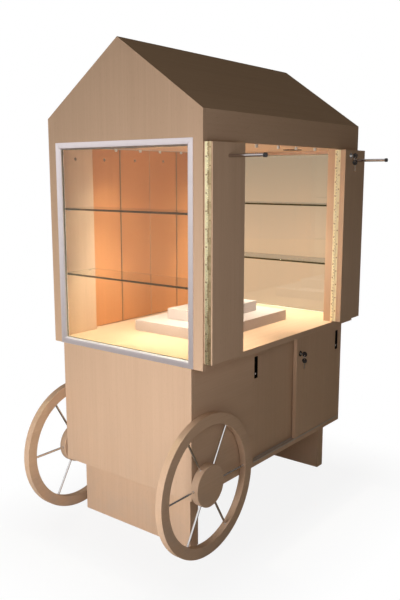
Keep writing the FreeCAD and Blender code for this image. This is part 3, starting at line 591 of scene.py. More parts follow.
# %% Finish of every node
# The paler brass on the jamb hinges and the far front hinges is painted highlight, and the darker
# brass on the near front fold plate is painted shade.
FINISHES = {"jamb_hinges": brass_painted_highlight, "front_far_leaf_hinges": brass_painted_highlight,
            "front_near_fold_plate": brass_painted_shade, "door_tracks": aluminium_x, "axle": steel,
            "shelf_pins": steel, "base_lock_strike": steel, "window_frames": aluminium_z,
            "base_lock": dark_chrome, "podium": podium_board, "window_glasses": window_glass,
            "glass_shelves": shelf_glass, "downlight_cans": black_paint,
            "downlight_lenses": lens_glow, "door_stops": nylon, "case_keys": black_plastic,
            "base_keys": black_plastic}
LEVEL_BOARDS = ("roof_panels", "fascias", "ceiling_panel", "worktop", "base_floor",
                "base_side_fixed", "base_back")


def node_finish(name):
    if name in FINISHES:
        return FINISHES[name]
    if "_lock" in name:
        return nickel
    if name.endswith("_leaf"):
        return leaf_finish[1 if name.startswith("front") and "free" in name else -1]
    if "hinges" in name or "fold_plate" in name:
        return bronze if name.startswith("back") else brass
    if "pull" in name:
        return dark_chrome
    if "peg" in name or "spokes" in name:
        return chrome
    return maple["X" if name in LEVEL_BOARDS or "_wheel_" in name else "Z"]


for name, node in nodes.items():
    node.data.materials.clear()
    node.data.materials.append(node_finish(name))
print("painted", len(nodes))

# %% [markdown]
# ## Eased boards
#
# A perfectly sharp edge never catches the light, and the real boards are rounded by about the
# thickness of their edge bands. So each board is a copy of its CAD part whose long edges are
# rounded. Its loose triangles are first merged into whole faces, or else the rounding would
# follow every hidden diagonal.

# %% Eased copies
slots = {part["node"]: part["material_slot"] for part in frame["record"]["subparts"]}
EASED = 0.8 * MM
LONG_EDGE = 12 * MM
SAME_POINT = 0.01 * MM
FLAT_ANGLE, SHARP_ANGLE = math.radians(0.4), math.radians(32)


def body_under(name):
    return nodes[name]["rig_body"]


def stand_in(piece, source, material):
    """Hand over a piece that takes the place of a CAD part."""
    fit_out(piece, body_under(source), material, [source])


def whole_faces(name, source):
    """Copy a CAD part and join its triangles into flat faces."""
    piece = add_to_scene(name, nodes[source].data.copy())
    edit(piece, "EDGE", "SELECT")
    bpy.ops.mesh.remove_doubles(threshold=SAME_POINT)
    bpy.ops.mesh.dissolve_limited(angle_limit=FLAT_ANGLE)
    object_mode()
    return piece


def round_edges(piece, radius, segments=2, shortest=0.0):
    """Round the sharp edges that are at least as long as shortest."""
    edit(piece, "EDGE")
    bpy.ops.mesh.edges_select_sharp(sharpness=SHARP_ANGLE)
    object_mode()
    points = piece.data.vertices
    for edge in piece.data.edges:
        first, second = edge.vertices
        if (points[first].co - points[second].co).length < shortest:
            edge.select = False
    bpy.ops.object.mode_set(mode="EDIT")
    bpy.ops.mesh.bevel(offset=radius, segments=segments, affect="EDGES", clamp_overlap=True)
    object_mode()
    return smooth(piece)


def eased_copy(source, radius=EASED, shortest=LONG_EDGE):
    piece = round_edges(whole_faces(f"{source}_eased", source), radius, shortest=shortest)
    stand_in(piece, source, node_finish(source))


# %% Boards of the case, the doors and the base
board_names = [name for name in nodes if slots[name] in ("maple_board", "podium_board")]
for name in board_names:
    eased_copy(name)
print("eased", len(board_names), "boards")

# %% [markdown]
# The small turned and pressed metal parts keep their CAD shape as well, with every edge rounded.
# The glass gets its edges arrised, which is the narrow flat that takes the sharpness off.

# %% Eased metal and glass
FINE, ARRIS = 0.3 * MM, 0.6 * MM
for name in ("door_tracks", "axle", "shelf_pins", "base_lock_strike", "downlight_cans",
             "downlight_lenses", "door_stops", "front_case_lock", "back_case_lock", "base_lock",
             "window_glasses", "glass_shelves"):
    eased_copy(name, ARRIS if "glass" in name else FINE, 0.0)

# %% [markdown]
# ## Making parts from primitives
#
# The remaining pieces are drawn by hand: a block or a round bar is added at its size and place,
# and its faces are then inset, pushed in or rounded.

# %% Block, bar and cut
ROUND, ROUNDER = 32, 48


def block(name, low, high):
    """A box between two corners."""
    low, high = Vector(low), Vector(high)
    start_clean()
    bpy.ops.mesh.primitive_cube_add(size=1, location=(low + high) / 2)
    piece = bpy.context.object
    piece.name = name
    piece.scale = high - low
    return settle(piece)


def bar(name, radius, start, end, sides=ROUND):
    """A round bar between two points."""
    start, end = Vector(start), Vector(end)
    way = end - start
    start_clean()
    bpy.ops.mesh.primitive_cylinder_add(vertices=sides, radius=radius, depth=way.length,
                                        location=(start + end) / 2,
                                        rotation=way.to_track_quat("Z", "Y").to_euler())
    piece = bpy.context.object
    piece.name = name
    return settle(piece)


def cut_away(piece, tool):
    """Take the tool's shape out of a piece, and throw the tool away."""
    apply_modifier(piece, "BOOLEAN", operation="DIFFERENCE", solver="EXACT", object=tool)
    bpy.data.objects.remove(tool)


def push_faces(piece, wanted, inset, depth):
    """Inset the picked faces and sink them by depth."""
    pick_faces(piece, wanted)
    bpy.ops.mesh.inset(thickness=inset, depth=-depth)
    object_mode()


# %% [markdown]
# ## Window frames
#
# Each glazed end is framed by four aluminium sections that meet in mitres. A section is one bar:
# a flat flange outside, a narrow groove, and a bead that slopes down to the glass. It is bisected
# at 45 degrees at both ends, and the rounded edges of the cut leave a fine dark line.

# %% One mitred section
FLANGE = 17 * MM
GROOVE = 0.9 * MM
BEAD_SLOPE = 5 * MM
MITRE_EASE = 0.35 * MM
PROFILE = 27 * MM

frames_low, frames_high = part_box("window_frames")
panes_low, panes_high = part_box("window_glasses")
section_depth = board + (case_low.x - frames_low.x)


def bisect(piece, kind, point, normal, **settings):
    edit(piece, kind, "SELECT")
    bpy.ops.mesh.bisect(plane_co=point, plane_no=normal, **settings)
    object_mode()


def extrude_along_x(distance):
    bpy.ops.mesh.extrude_region_move(TRANSFORM_OT_translate={"value": (distance, 0, 0)})


def window_section(name, outer_x, inward, across, sign):
    """A section along one side of the opening.

    inward is 1 where the room side is at larger X. The section's width lies along the axis
    across, 1 for Y and 2 for Z, and sign is -1 or 1 for its low or its high side.
    """
    run = 3 - across
    outer = (frames_high if sign > 0 else frames_low)[across]
    sight = outer - sign * PROFILE
    start, end = frames_low.copy(), frames_high.copy()
    start.x, end.x = sorted((outer_x, outer_x + inward * section_depth))
    start[across], end[across] = sorted((outer, sight))
    piece = block(name, start, end)
    pick_edges(piece, lambda a, b: all(abs(p.x - outer_x) < TINY and abs(p[across] - sight) < TINY
                                       for p in (a, b)))
    bpy.ops.mesh.bevel(offset=BEAD_SLOPE, segments=1, affect="EDGES")
    object_mode()
    width_way = Vector((0, 0, 0))
    width_way[across] = 1.0
    for distance in (FLANGE, FLANGE + GROOVE):
        bisect(piece, "EDGE", width_way * (outer - sign * distance), width_way)
    strip = outer - sign * (FLANGE + GROOVE / 2)
    pick_faces(piece, lambda c, n: (abs(c.x - outer_x) < TINY
                                    and abs(c[across] - strip) < GROOVE / 2))
    extrude_along_x(inward * GROOVE)
    object_mode()
    for opening_corner, run_sign in ((frames_low, -1), (frames_high, 1)):
        corner = opening_corner.copy()
        corner.x, corner[across] = outer_x, outer
        off_the_bar = width_way * -sign
        off_the_bar[run] = run_sign
        bisect(piece, "FACE", corner, off_the_bar.normalized(), use_fill=True, clear_outer=True)
    return round_edges(piece, MITRE_EASE, 1)


# %% Both framed ends
for end, outer_x, inward in (("near", frames_low.x, 1), ("far", frames_high.x, -1)):
    for word, across, sign, finish in (("left", 1, -1, aluminium_z), ("right", 1, 1, aluminium_z),
                                       ("sill", 2, -1, aluminium_y), ("head", 2, 1, aluminium_y)):
        piece = window_section(f"{end}_frame_{word}", outer_x, inward, across, sign)
        stands_for = ["window_frames"] if (end, word) == ("near", "left") else []
        fit_out(piece, "case", finish, stands_for)
print("window sections", 8)

# %% [markdown]
# A dark gasket seals the pane inside the frame. It starts as a flat sheet the size of the
# opening: its middle is inset and deleted, and the border is thickened away from the pane.

# %% Gaskets
GASKET_WIDTH, GASKET_STANDS, GASKET_EASE = 1.7 * MM, 1.6 * MM, 0.4 * MM
PANE = 4 * MM

sight_low = frames_low + Vector((0, PROFILE, PROFILE))
sight_high = frames_high - Vector((0, PROFILE, PROFILE))
sight_middle, sight_size = (sight_low + sight_high) / 2, sight_high - sight_low


def gasket_strip(name, face_x, toward):
    """A border on one face of a pane; toward is the X direction it stands out in."""
    start_clean()
    bpy.ops.mesh.primitive_plane_add(size=1, location=(face_x, sight_middle.y, sight_middle.z),
                                     rotation=(0, QUARTER_TURN, 0))
    piece = bpy.context.object
    piece.name = name
    piece.scale = (sight_size.z, sight_size.y, 1)
    settle(piece)
    pick_faces(piece, lambda c, n: True)
    bpy.ops.mesh.inset(thickness=GASKET_WIDTH)
    bpy.ops.mesh.delete(type="FACE")
    bpy.ops.mesh.select_all(action="SELECT")
    extrude_along_x(toward * GASKET_STANDS)
    bpy.ops.mesh.select_all(action="SELECT")
    bpy.ops.mesh.normals_make_consistent(inside=False)
    object_mode()
    return round_edges(piece, GASKET_EASE)


for end, low_x in (("near", panes_low.x), ("far", panes_high.x - PANE)):
    strips = [gasket_strip(f"{end}_gasket_{word}", face_x, toward)
              for word, face_x, toward in (("a", low_x, -1), ("b", low_x + PANE, 1))]
    fit_out(join(strips, f"{end}_gasket"), "case", gasket)

# %% [markdown]
# ## Continuous hinges
#
# The leaves hang on piano hinges, of which the model has the plates, the pin and a few long
# knuckles. What makes the hinge read as one are the screws down every plate, in a zigzag across
# the pin, and the joints of many short knuckles with a row of dark dashes beside them, painted
# shade of every other knuckle. Each screw's cross shows a near-black disc, painted shade in its
# recess. A screw head, its disc, a dash and a joint line are each modelled once and copied.

# %% A screw head
SCREW_RADIUS, SCREW_LONG, SCREW_STANDS = 3.1 * MM, 0.9 * MM, 0.22 * MM
SCREW_EASE, SCREW_SIDES = 0.15 * MM, 20
CROSS_LENGTH, CROSS_WIDTH, CROSS_DEEP = 3.8 * MM, 0.9 * MM, 0.5 * MM
RECESS_RADIUS, RECESS_SIDES = 1.9 * MM, 12
SUNK, PROUD = 0.4 * MM, 0.04 * MM

# A cutting tool reaches this much past the piece, so that no skin is left.
OVER = 1 * MM

screw = bar("screw", SCREW_RADIUS, (-SCREW_LONG, 0, 0), (SCREW_STANDS, 0, 0), SCREW_SIDES)
round_edges(screw, SCREW_EASE, 1)
for wide, tall in ((CROSS_LENGTH, CROSS_WIDTH), (CROSS_WIDTH, CROSS_LENGTH)):
    cut_away(screw, block("cross", (-CROSS_DEEP, -wide / 2, -tall / 2), (OVER, wide / 2, tall / 2)))
# The recess is a near-black disc seen through the cross: painted shade in the screw's recess.
recess = bar("screw_recess_painted_shade", RECESS_RADIUS, (-SUNK, 0, 0), (PROUD, 0, 0), RECESS_SIDES)
print("screw faces", len(screw.data.polygons))

# %% Painted shade dashes and joint lines of the knuckles
hinge_low, hinge_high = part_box("front_near_fold_plate")
hinge_tall = hinge_high.z - hinge_low.z
KNUCKLES = 112
knuckle = hinge_tall / KNUCKLES
BARREL_RADIUS, BARREL_SIDES = 2.6 * MM, 36
SHADE_DASH_FROM_PIN, SHADE_DASH_WIDE = 3.0 * MM, 1.5 * MM
JOINT_TALL = 0.5 * MM


def column(piece, count, pitch):
    """Repeat a small part upwards."""
    return apply_modifier(piece, "ARRAY", count=count, use_relative_offset=False,
                          use_constant_offset=True, constant_offset_displace=(0, 0, pitch))


# The notches are dark dashes on every other knuckle beside the pin: painted shade of the knuckles.
notches = column(block("notch", (-SUNK, -SHADE_DASH_WIDE / 2, 0), (PROUD, SHADE_DASH_WIDE / 2, knuckle)),
                 KNUCKLES // 2, 2 * knuckle)
joint_lines = column(bar("joint_line", BARREL_RADIUS + PROUD / 2, (0, 0, -JOINT_TALL / 2),
                         (0, 0, JOINT_TALL / 2), BARREL_SIDES), KNUCKLES - 1, knuckle)
print("knuckle", round(knuckle / MM, 2), "mm")

# %% Screws on every plate
SCREWS_DOWN, SCREW_MARGIN = 13, 19 * MM
PLATE_MIDDLE, PLATE_GAP = 8.6 * MM, 0.3 * MM
SHADE_DASH_MIDDLE = SHADE_DASH_FROM_PIN + SHADE_DASH_WIDE / 2

axes = {joint["name"]: Vector(joint["pos_m"]) for joint in frame["joints"] if "pos_m" in joint}
screw_span = hinge_tall - 2 * SCREW_MARGIN
screw_heights = [hinge_low.z + SCREW_MARGIN + screw_span * row / (SCREWS_DOWN - 1)
                 for row in range(SCREWS_DOWN)]
shifted_heights = [(first + second) / 2 for first, second in zip(screw_heights, screw_heights[1:])]


def on_plate(source, axis, board_side, plate_side, from_pin, heights):
    """Copies of one part up a plate, given where its board and its plate lie from the axis."""
    half_turn = Matrix.Rotation(FULL_TURN / 2 if board_side > 0 else 0, 4, "Z")
    found = []
    for height in heights:
        place = Vector((axis.x + board_side * PLATE_GAP, axis.y + plate_side * from_pin, height))
        twin = add_to_scene("plate_copy", source.data.copy())
        twin.data.transform(half_turn)
        twin.data.transform(Matrix.Translation(place))
        found.append(twin)
    return found


def leaf_plates(face, end):
    """(body, axis, side of the board in X, side of the plate in Y) for the set's four plates."""
    jamb, fold = axes[f"{face}_{end}_jamb"], axes[f"{face}_{end}_fold"]
    hinged, free = f"{face}_{end}_hinged", f"{face}_{end}_free"
    x_turn = 1 if end == "near" else -1
    sides = (((-1, 1), (-1, -1), (1, 1), (1, -1)) if face == "front"
             else ((-1, -1), (1, -1), (-1, 1), (1, 1)))
    plates = (("case", jamb), (hinged, jamb), (hinged, fold), (free, fold))
    return [(body, axis, x_turn * x, y) for (body, axis), (x, y) in zip(plates, sides)]


heads, shade_and_joint_pieces = {}, {}
for face in ("front", "back"):
    for end in ("near", "far"):
        for body, axis, board_side, plate_side in leaf_plates(face, end):
            on_hinged = body.endswith("hinged")
            rows = shifted_heights if on_hinged else screw_heights
            spot = (axis, board_side, plate_side)
            heads.setdefault(body, []).extend(on_plate(screw, *spot, PLATE_MIDDLE, rows))
            dark = shade_and_joint_pieces.setdefault(body, [])
            dark.extend(on_plate(recess, *spot, PLATE_MIDDLE, rows))
            if plate_side > 0:
                dark.extend(on_plate(notches, *spot, SHADE_DASH_MIDDLE, [hinge_low.z]))
            if on_hinged:
                dark.extend(on_plate(joint_lines, axis, 0, 0, 0, [hinge_low.z + knuckle]))
# The dark pieces of each body, painted shade in the screw recesses and beside the knuckles and the
# dark joints between knuckles, share one near-black finish.
for body in heads:
    fit_out(join(heads[body], f"{body}_screws"), body, bronze)
    fit_out(join(shade_and_joint_pieces[body], f"{body}_hinge_joints_and_painted_shade"), body, joint_and_painted_shade)
for spare in (screw, recess, notches, joint_lines):
    bpy.data.objects.remove(spare)
print("screws on", sorted(heads))

# %% Hinge plates and knuckles
KNUCKLE_SMOOTH = 30
for name in nodes:
    if slots[name] == "hinge_brass":
        piece = smooth(whole_faces(f"{name}_rolled", name), KNUCKLE_SMOOTH)
        stand_in(piece, name, node_finish(name))

# %% [markdown]
# ## Pegs
#
# A chromed bar stands out of each front leaf. Its outer end wears a short black sleeve, so from
# outside it looks like a black ring round a bright middle.

# %% Chrome pegs
SLEEVE_LENGTH, SLEEVE_WALL, SLEEVE_EASE = 10 * MM, 1.5 * MM, 0.4 * MM
ROD_THINNER, ROD_BEHIND_FACE, ROD_EASE = 0.8 * MM, 1 * MM, 0.5 * MM
BUTTON_LENGTH, BUTTON_SET_BACK = 4 * MM, 0.3 * MM
PEG_SIDES = 40


def bar_along_y(name, radius, middle, from_y, to_y, sides=ROUND):
    return bar(name, radius, (middle.x, from_y, middle.z), (middle.x, to_y, middle.z), sides)


def build_peg(end):
    source = f"front_{end}_peg"
    low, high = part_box(source)
    middle = (low + high) / 2
    sleeve_radius = (high.x - low.x) / 2
    bore = sleeve_radius - SLEEVE_WALL
    face = low.y + BUTTON_SET_BACK
    bright = [round_edges(bar_along_y(name, radius, middle, from_y, to_y, PEG_SIDES), ROD_EASE, 3)
              for name, radius, from_y, to_y in (
                  (f"{end}_peg_rod", bore - ROD_THINNER, face + ROD_BEHIND_FACE, high.y),
                  (f"{end}_peg_button", bore, face, face + BUTTON_LENGTH))]
    stand_in(join(bright, f"{end}_peg_chromed"), source, chrome_y)
    sleeve = bar_along_y(f"{end}_peg_sleeve", sleeve_radius, middle, low.y, low.y + SLEEVE_LENGTH,
                         ROUNDER)
    cut_away(sleeve, bar_along_y("bore", bore, middle, low.y - OVER, low.y + 2 * SLEEVE_LENGTH,
                                 PEG_SIDES))
    round_edges(sleeve, SLEEVE_EASE, 3)
    fit_out(sleeve, body_under(source), black_plastic)


for end in ("near", "far"):
    build_peg(end)

# %% [markdown]
# ## Cam locks and keys
#
# The lock's rosette comes from the model. Its plug is given a keyway, and the keys are
# drawn in full: a round black head with an eye and a sunk panel on both sides, and a steel blade.
# The spare, whose blade has notches, hangs from the first key on a ring of wire.

# %% Lock plugs
KEYWAY_EASE = 0.2 * MM
KEYWAY_REACH = Vector((1.1, 5, 3.7)) * MM

for lock in ("front_case_lock", "back_case_lock", "base_lock"):
    low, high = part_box(lock)
    middle = (low + high) / 2
    middle.y = high.y if lock.startswith("back") else low.y
    name = f"{lock}_plug"
    piece = whole_faces(f"{name}_cut", name)
    cut_away(piece, block("keyway", middle - KEYWAY_REACH, middle + KEYWAY_REACH))
    round_edges(piece, KEYWAY_EASE)
    stand_in(piece, name, nickel)

# %% Key parts
BOW_RADIUS, BOW_THICK, BOW_EASE = 12 * MM, 3 * MM, 0.5 * MM
EYE_RADIUS, EYE_OFF, EYE_SIDES = 3 * MM, 6 * MM, 24
PANEL_RIM, PANEL_STEP, PANEL_DEEP = 1.6 * MM, 0.4 * MM, 0.4 * MM
BLADE_WIDE, BLADE_THICK, BLADE_EASE = 7 * MM, 2 * MM, 0.15 * MM
LOOKS_ALONG, AT_MIDDLE = 0.9, 1e-4
NOTCH_SIDES = 4

# How far down the blade each notch is, as a share of its length, and the notch's radius.
NOTCHES = ((0.30, 1.2 * MM), (0.48, 1.408 * MM), (0.66, 1.616 * MM), (0.84, 1.824 * MM))


def key_bow(name, middle, eye_side):
    """A key's head standing edge on to the door; eye_side is 1 where the eye is above."""
    x, y, z = middle
    bow = bar(name, BOW_RADIUS, (x - BOW_THICK / 2, y, z), (x + BOW_THICK / 2, y, z), ROUNDER)
    for side in (-1, 1):
        push_faces(bow, lambda c, n: n.x * side > LOOKS_ALONG, PANEL_RIM, 0)
        push_faces(bow, lambda c, n: (n.x * side > LOOKS_ALONG
                                      and (c.yz - Vector((y, z))).length < AT_MIDDLE),
                   PANEL_STEP, PANEL_DEEP)
    eye = (y, z + eye_side * EYE_OFF)
    cut_away(bow, bar("eye", EYE_RADIUS, (x - BOW_THICK, *eye), (x + BOW_THICK, *eye), EYE_SIDES))
    return round_edges(bow, BOW_EASE)


def notched_blade(name, low, high):
    """A hanging blade between two corners, with notches down its front edge."""
    blade = block(name, low, high)
    (low_x, low_y, low_z), (high_x, _, high_z) = low, high
    half = Vector((BLADE_THICK, 0, 0))
    for share, radius in NOTCHES:
        point = Vector(((low_x + high_x) / 2, low_y, high_z + (low_z - high_z) * share))
        cut_away(blade, bar("notch", radius, point - half, point + half, NOTCH_SIDES))
    return round_edges(blade, BLADE_EASE)


# %% Key sets
SPARE_HANGS = 26 * MM
INTO_BOW, INTO_LOCK = 1 * MM, 2 * MM
RING_RADIUS, WIRE_RADIUS, RING_SMOOTH = 8 * MM, 0.8 * MM, 80
WIRE_SIDES = 12


def build_keys(source, lock_name):
    low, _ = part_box(source)
    lock_low, lock_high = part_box(lock_name)
    x, z = (lock_low.x + lock_high.x) / 2, (lock_low.z + lock_high.z) / 2
    bow_y = low.y + BOW_RADIUS
    spare_z = low.z + SPARE_HANGS + BOW_RADIUS
    bows = [key_bow(f"{source}_{word}", (x, bow_y, height), eye_side)
            for word, height, eye_side in (("bow", z, -1), ("spare", spare_z, 1))]
    stand_in(join(bows, f"{source}_heads"), source, black_plastic)
    thin, wide = BLADE_THICK / 2, BLADE_WIDE / 2
    in_lock = block(f"{source}_shank", (x - thin, bow_y + BOW_RADIUS - INTO_BOW, z - wide),
                    (x + thin, lock_low.y + INTO_LOCK, z + wide))
    round_edges(in_lock, BLADE_EASE)
    hanging = notched_blade(f"{source}_spare_blade", (x - thin, bow_y - wide, low.z),
                            (x + thin, bow_y + wide, spare_z - BOW_RADIUS + INTO_BOW))
    start_clean()
    bpy.ops.mesh.primitive_torus_add(major_segments=ROUNDER, minor_segments=WIRE_SIDES,
                                     major_radius=RING_RADIUS, minor_radius=WIRE_RADIUS,
                                     location=(x, bow_y, (z + spare_z) / 2),
                                     rotation=(QUARTER_TURN, 0, 0))
    ring = smooth(settle(bpy.context.object), RING_SMOOTH)
    metal_parts = join([in_lock, hanging, ring], f"{source}_steel")
    fit_out(metal_parts, body_under(source), steel)


build_keys("case_keys", "front_case_lock")
build_keys("base_keys", "base_lock")

# %% [markdown]
# ## Finger pulls
#
# The sliding doors are moved by cups of darkened chrome let into the board: a thin oblong rim
# round a deep slot. The four corners of the rim are rounded first, and then every other edge gets
# its small radius. A bright domed stud near the foot of the slot holds the cup.

# %% Pull cups
RIM_CORNER, RIM_THINNEST = 3 * MM, 0.5 * MM
STUD_RADIUS, STUD_TALL, STUD_UP = 4.4 * MM, 8.5 * MM, 18 * MM
STUD_BELOW_RIM, STUD_DOME = 1 * MM, 2.4 * MM

for name in ("near_door_pull", "far_door_pull"):
    low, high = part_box(name)
    piece = whole_faces(f"{name}_cup", name)

    def at_rim_corner(point):
        return all(min(abs(point[axis] - low[axis]), abs(point[axis] - high[axis])) < TINY
                   for axis in (0, 2))

    pick_edges(piece, lambda a, b: (at_rim_corner(a) and at_rim_corner(b)
                                    and abs(a.y - b.y) > RIM_THINNEST))
    bpy.ops.mesh.bevel(offset=RIM_CORNER, segments=5, affect="EDGES")
    object_mode()
    round_edges(piece, FINE)
    stand_in(piece, name, dark_chrome)
    foot = (low + high) / 2
    foot.z = low.z + STUD_UP
    top_y = high.y - STUD_BELOW_RIM
    stud = bar_along_y(f"{name}_stud", STUD_RADIUS, foot, top_y, top_y - STUD_TALL)
    round_edges(stud, STUD_DOME, 4)
    fit_out(stud, body_under(name), aluminium_z)

# %% [markdown]
# ## Wheels
#
# Each wheel is a wooden ring and a wooden disc joined by six chromed spokes with small ferrules.
# The ring is turned: its section is drawn once and spun round the axle.

# %% Turned rim
RIM_OUTER, RIM_INNER, HUB_RADIUS = 285.9 * MM, 241 * MM, 84 * MM
SOFT_EDGE = 2.0 * MM
TURN_STEPS = 144


def turned(name, section, centre):
    """Spin a closed section of (radius, Y) corners once round the wheel's axis."""
    start_clean()
    bpy.ops.mesh.primitive_circle_add(vertices=len(section), fill_type="NOTHING")
    piece = bpy.context.object
    piece.name = name
    for point, (radius, y) in zip(piece.data.vertices, section):
        point.co = Vector((radius, y, 0))
    piece.location = (centre.x, 0, centre.z)
    settle(piece)
    edit(piece, "EDGE", "SELECT")
    bpy.ops.mesh.spin(steps=TURN_STEPS, angle=FULL_TURN, center=centre, axis=(0, 1, 0))
    bpy.ops.mesh.select_all(action="SELECT")
    bpy.ops.mesh.remove_doubles(threshold=SAME_POINT / 2)
    bpy.ops.mesh.normals_make_consistent(inside=False)
    object_mode()
    return round_edges(piece, SOFT_EDGE, 3)


# %% Wheels with spokes and ferrules
SPOKES, SPOKE_RADIUS, SPOKE_SMOOTH = 6, 4.5 * MM, 30
SEAT = 6 * MM
FERRULE_RADIUS, FERRULE_LONG, FERRULE_SUNK = 5.6 * MM, 2.5 * MM, 1 * MM
FERRULE_EASE = 0.5 * MM


def build_wheel(face):
    rim_node, hub_node, spokes_node = (f"{face}_wheel_{word}" for word in ("rim", "hub", "spokes"))
    rim_low, rim_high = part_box(rim_node)
    hub_low, hub_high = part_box(hub_node)
    centre = (rim_low + rim_high) / 2
    rim = turned(f"{face}_rim_turned", [(RIM_INNER, rim_low.y), (RIM_OUTER, rim_low.y),
                                        (RIM_OUTER, rim_high.y), (RIM_INNER, rim_high.y)], centre)
    stand_in(rim, rim_node, wheel_wood)
    hub = bar_along_y(f"{face}_hub_turned", HUB_RADIUS, centre, hub_low.y, hub_high.y, TURN_STEPS)
    round_edges(hub, SOFT_EDGE, 3)
    stand_in(hub, hub_node, wheel_wood)
    pieces = []
    for number in range(SPOKES):
        angle = FULL_TURN / SPOKES * number
        way = Vector((math.cos(angle), 0, -math.sin(angle)))
        pieces.append(bar("spoke", SPOKE_RADIUS, centre + way * (HUB_RADIUS - SEAT),
                          centre + way * (RIM_INNER + SEAT)))
        for foot, toward in ((HUB_RADIUS, 1), (RIM_INNER, -1)):
            collar = bar("ferrule", FERRULE_RADIUS, centre + way * (foot - toward * FERRULE_SUNK),
                         centre + way * (foot + toward * FERRULE_LONG))
            pieces.append(round_edges(collar, FERRULE_EASE))
    spokes = smooth(join(pieces, f"{face}_spokes_chromed"), SPOKE_SMOOTH)
    stand_in(spokes, spokes_node, chrome)


for face in ("front", "back"):
    build_wheel(face)

# %% [markdown]
# ## Floor, backdrop and light
#
# The trolley stands on a pale floor that keeps its shadow. Further out the floor is plain white to
# the camera, as the world is. Through the glass both look like a beige room, metal sees a dark
# floor close by and a room that is bright on the left, and the object gets only soft light from
# them. A large lamp low on the left lights the gable and the wheels, weaker ones reach the front,
# the back and the right side, and the four downlights make the inside warm.

# %% Floor
WHITE = (1, 1, 1, 1)
FLOOR_RADIUS, FLOOR_SIDES = 14.0, 96
FLOOR_COLOUR, FLOOR_PALER = (0.60, 0.585, 0.57, 1), (0.64, 0.625, 0.61, 1)
FOOTPRINT = (0.62, 0.34, 10.0)
SHADE_FADES_FROM, SHADE_FADES_TO = 0.02, 0.50
WHITE_BY_THE_WHEELS = 0.88
FLOOR_IN_METAL = (0.10, 0.070, 0.045, 1)
PALE_IN_METAL_FROM, PALE_IN_METAL_TO = 2.5, 9.0
FLOOR_IN_GLASS = (0.690, 0.475, 0.300, 1)


def floor_material():
    material, tree, shader, place, _ = new_material("floor")
    mottle = noise(tree, place, 3.0, 3.0)
    feed(tree, shader, {"Base Color": blend_colours(tree, mottle, FLOOR_COLOUR, FLOOR_PALER),
                        "Roughness": 0.9})
    kind = "ShaderNodeVectorMath"
    apart = compute(tree, kind, "ABSOLUTE", place)["Vector"]
    beyond = compute(tree, kind, "SUBTRACT", apart, FOOTPRINT)["Vector"]
    outside = compute(tree, kind, "MAXIMUM", beyond, (0, 0, 0))["Vector"]
    distance = compute(tree, kind, "LENGTH", outside)["Value"]
    away = remap(tree, distance, SHADE_FADES_FROM, SHADE_FADES_TO)
    path = put(tree, "ShaderNodeLightPath").outputs
    glossy, through = path["Is Glossy Ray"], path["Is Transmission Ray"]
    indirect = calculate(tree, "MAXIMUM", through, glossy)
    seen = calculate(tree, "MAXIMUM", path["Is Camera Ray"], indirect)
    # Metal sees a dark floor close by, which turns paler further out.
    pale = remap(tree, distance, PALE_IN_METAL_FROM, PALE_IN_METAL_TO)
    in_metal = blend_colours(tree, glossy, WHITE, blend_colours(tree, pale, FLOOR_IN_METAL, WHITE))
    colour = blend_colours(tree, through, in_metal, FLOOR_IN_GLASS)
    plain = put(tree, "ShaderNodeEmission", Strength=1.0, Color=colour).outputs["Emission"]
    share = calculate(tree, "MULTIPLY", remap(tree, away, 0.0, 1.0, WHITE_BY_THE_WHEELS, 1.0), seen)
    feed(tree, tree.nodes["Material Output"],
         {"Surface": mix_shaders(tree, share, shader.outputs["BSDF"], plain)})
    return material


start_clean()
bpy.ops.mesh.primitive_circle_add(vertices=FLOOR_SIDES, radius=FLOOR_RADIUS, fill_type="NGON",
                                  location=(0, 0, 0))
floor = bpy.context.object
floor.name = "floor"
floor.data.materials.append(floor_material())

# %% World
ROOM_LIGHT, CEILING_LIGHT = (0.80, 0.76, 0.74, 1), (0.80, 0.62, 0.32, 1)
LIGHT_BELOW, LIGHT_ABOVE = 0.11, 0.13
SEEN_IN_METAL = (0.98, 0.96, 0.95, 1)
BRIGHT_SIDE, DARK_SIDE = 1.0, 0.10
HIGH_IN_GLASS, LOW_IN_GLASS = (0.43, 0.33, 0.23, 1), (0.66, 0.46, 0.30, 1)


def build_world():
    """Soft light for the object; white to the camera, and a beige room through the glass."""
    world = bpy.data.worlds.new("studio")
    bpy.context.scene.world = world
    world.use_nodes = True
    tree = world.node_tree
    way = split(tree, put(tree, "ShaderNodeTexCoord").outputs["Generated"])
    height = way["Z"]
    base = tree.nodes["Background"]
    tone = blend_colours(tree, remap(tree, height, 0.0, 0.6), ROOM_LIGHT, CEILING_LIGHT)
    feed(tree, base, {"Color": tone,
                      "Strength": remap(tree, height, 0.0, 0.8, LIGHT_BELOW, LIGHT_ABOVE)})
    # Metal sees a bright room on the left and a dim one on the right and overhead.
    from_the_left = weighted(tree, (way["X"], 1.0), (height, 0.5))
    sided = remap(tree, from_the_left, -0.1, 0.6, BRIGHT_SIDE, DARK_SIDE)
    skyward = remap(tree, height, -0.08, 0.02)
    beyond_glass = blend_colours(tree, skyward, LOW_IN_GLASS, HIGH_IN_GLASS)
    path = put(tree, "ShaderNodeLightPath").outputs
    result = base.outputs[0]
    for rays, colour, strength in (("Is Glossy Ray", SEEN_IN_METAL, sided),
                                   ("Is Transmission Ray", beyond_glass, 1.0),
                                   ("Is Camera Ray", WHITE, 1.0)):
        plain = put(tree, "ShaderNodeBackground", Color=colour, Strength=strength)
        result = mix_shaders(tree, path[rays], result, plain.outputs[0])
    feed(tree, tree.nodes["World Output"], {"Surface": result})


build_world()


# %% Lamps
def add_lamp(name, kind, place, power, colour, **settings):
    data = bpy.data.lights.new(name, kind)
    data.energy, data.color = power, colour
    for key, value in settings.items():
        setattr(data, key, value)
    lamp = add_to_scene(name, data)
    lamp.location = place
    return lamp


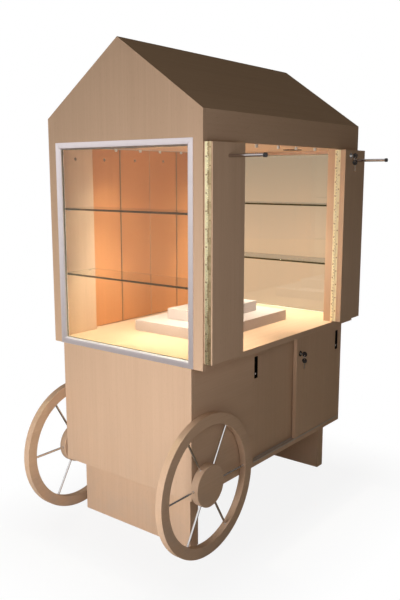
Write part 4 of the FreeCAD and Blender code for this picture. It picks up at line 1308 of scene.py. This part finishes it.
# Daylight that has come in through the left window starts just behind its pane.
BEHIND_PANE = 25 * MM
pane_inside, pane_middle = panes_low.x + BEHIND_PANE, (panes_low.z + panes_high.z) / 2
AREA_LAMPS = (
    ("key", (-2.35, -0.05, 0.52), (-0.5, 0.0, 0.55), (1.1, 0.7), 30, (1.0, 0.99, 1.0)),
    ("front_fill", (-1.35, -1.40, 1.30), (-0.2, -0.4, 0.9), (0.8, 0.8), 5.2, (0.97, 0.98, 1.05)),
    ("back_fill", (0.3, 2.6, 1.5), (0.0, 0.4, 1.0), (1.4, 1.2), 22, (1.0, 0.98, 0.97)),
    ("right_fill", (2.7, 0.3, 1.2), (0.6, 0.0, 1.0), (1.2, 1.2), 18, (1.0, 0.98, 0.97)),
    ("window_light", (pane_inside, 0, pane_middle), (0, 0, pane_middle), (0.6, 0.6), 2.4,
     (1.0, 0.94, 0.86)))
for name, place, aim, size, power, colour in AREA_LAMPS:
    lamp = add_lamp(name, "AREA", place, power, colour, shape="RECTANGLE",
                    size=size[0], size_y=size[1])
    lamp.rotation_euler = (Vector(aim) - Vector(place)).to_track_quat("-Z", "Y").to_euler()
    lamp.visible_camera = lamp.visible_glossy = lamp.visible_transmission = False

# %% Downlight beams
# Each lamp has a wide soft cone, which makes the scallops on the walls, and a narrow strong core.
BEAM_COLOUR = (1.0, 0.94, 0.77)
BEAMS = (("wide", 116, 0.90, 4.5), ("core", 62, 1.0, 29.0))
FRONT_SHARE = 1.2
BELOW_CAN, BEAM_RADIUS, LENS_RADIUS = 2 * MM, 25 * MM, 34 * MM

cans_low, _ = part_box("downlight_cans")
lens_low, lens_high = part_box("downlight_lenses")
lamp_spots = [(x, y) for x in (lens_low.x + LENS_RADIUS, lens_high.x - LENS_RADIUS)
              for y in (lens_low.y + LENS_RADIUS, lens_high.y - LENS_RADIUS)]
for number, (x, y) in enumerate(lamp_spots):
    for word, cone, softness, power in BEAMS:
        add_lamp(f"beam_{word}_{number}", "SPOT", (x, y, cans_low.z - BELOW_CAN),
                 power * (FRONT_SHARE if y < 0 else 1), BEAM_COLOUR, spot_size=math.radians(cone),
                 spot_blend=softness, shadow_soft_size=BEAM_RADIUS)

# %% View transform
bpy.context.scene.view_settings.view_transform = "Standard"
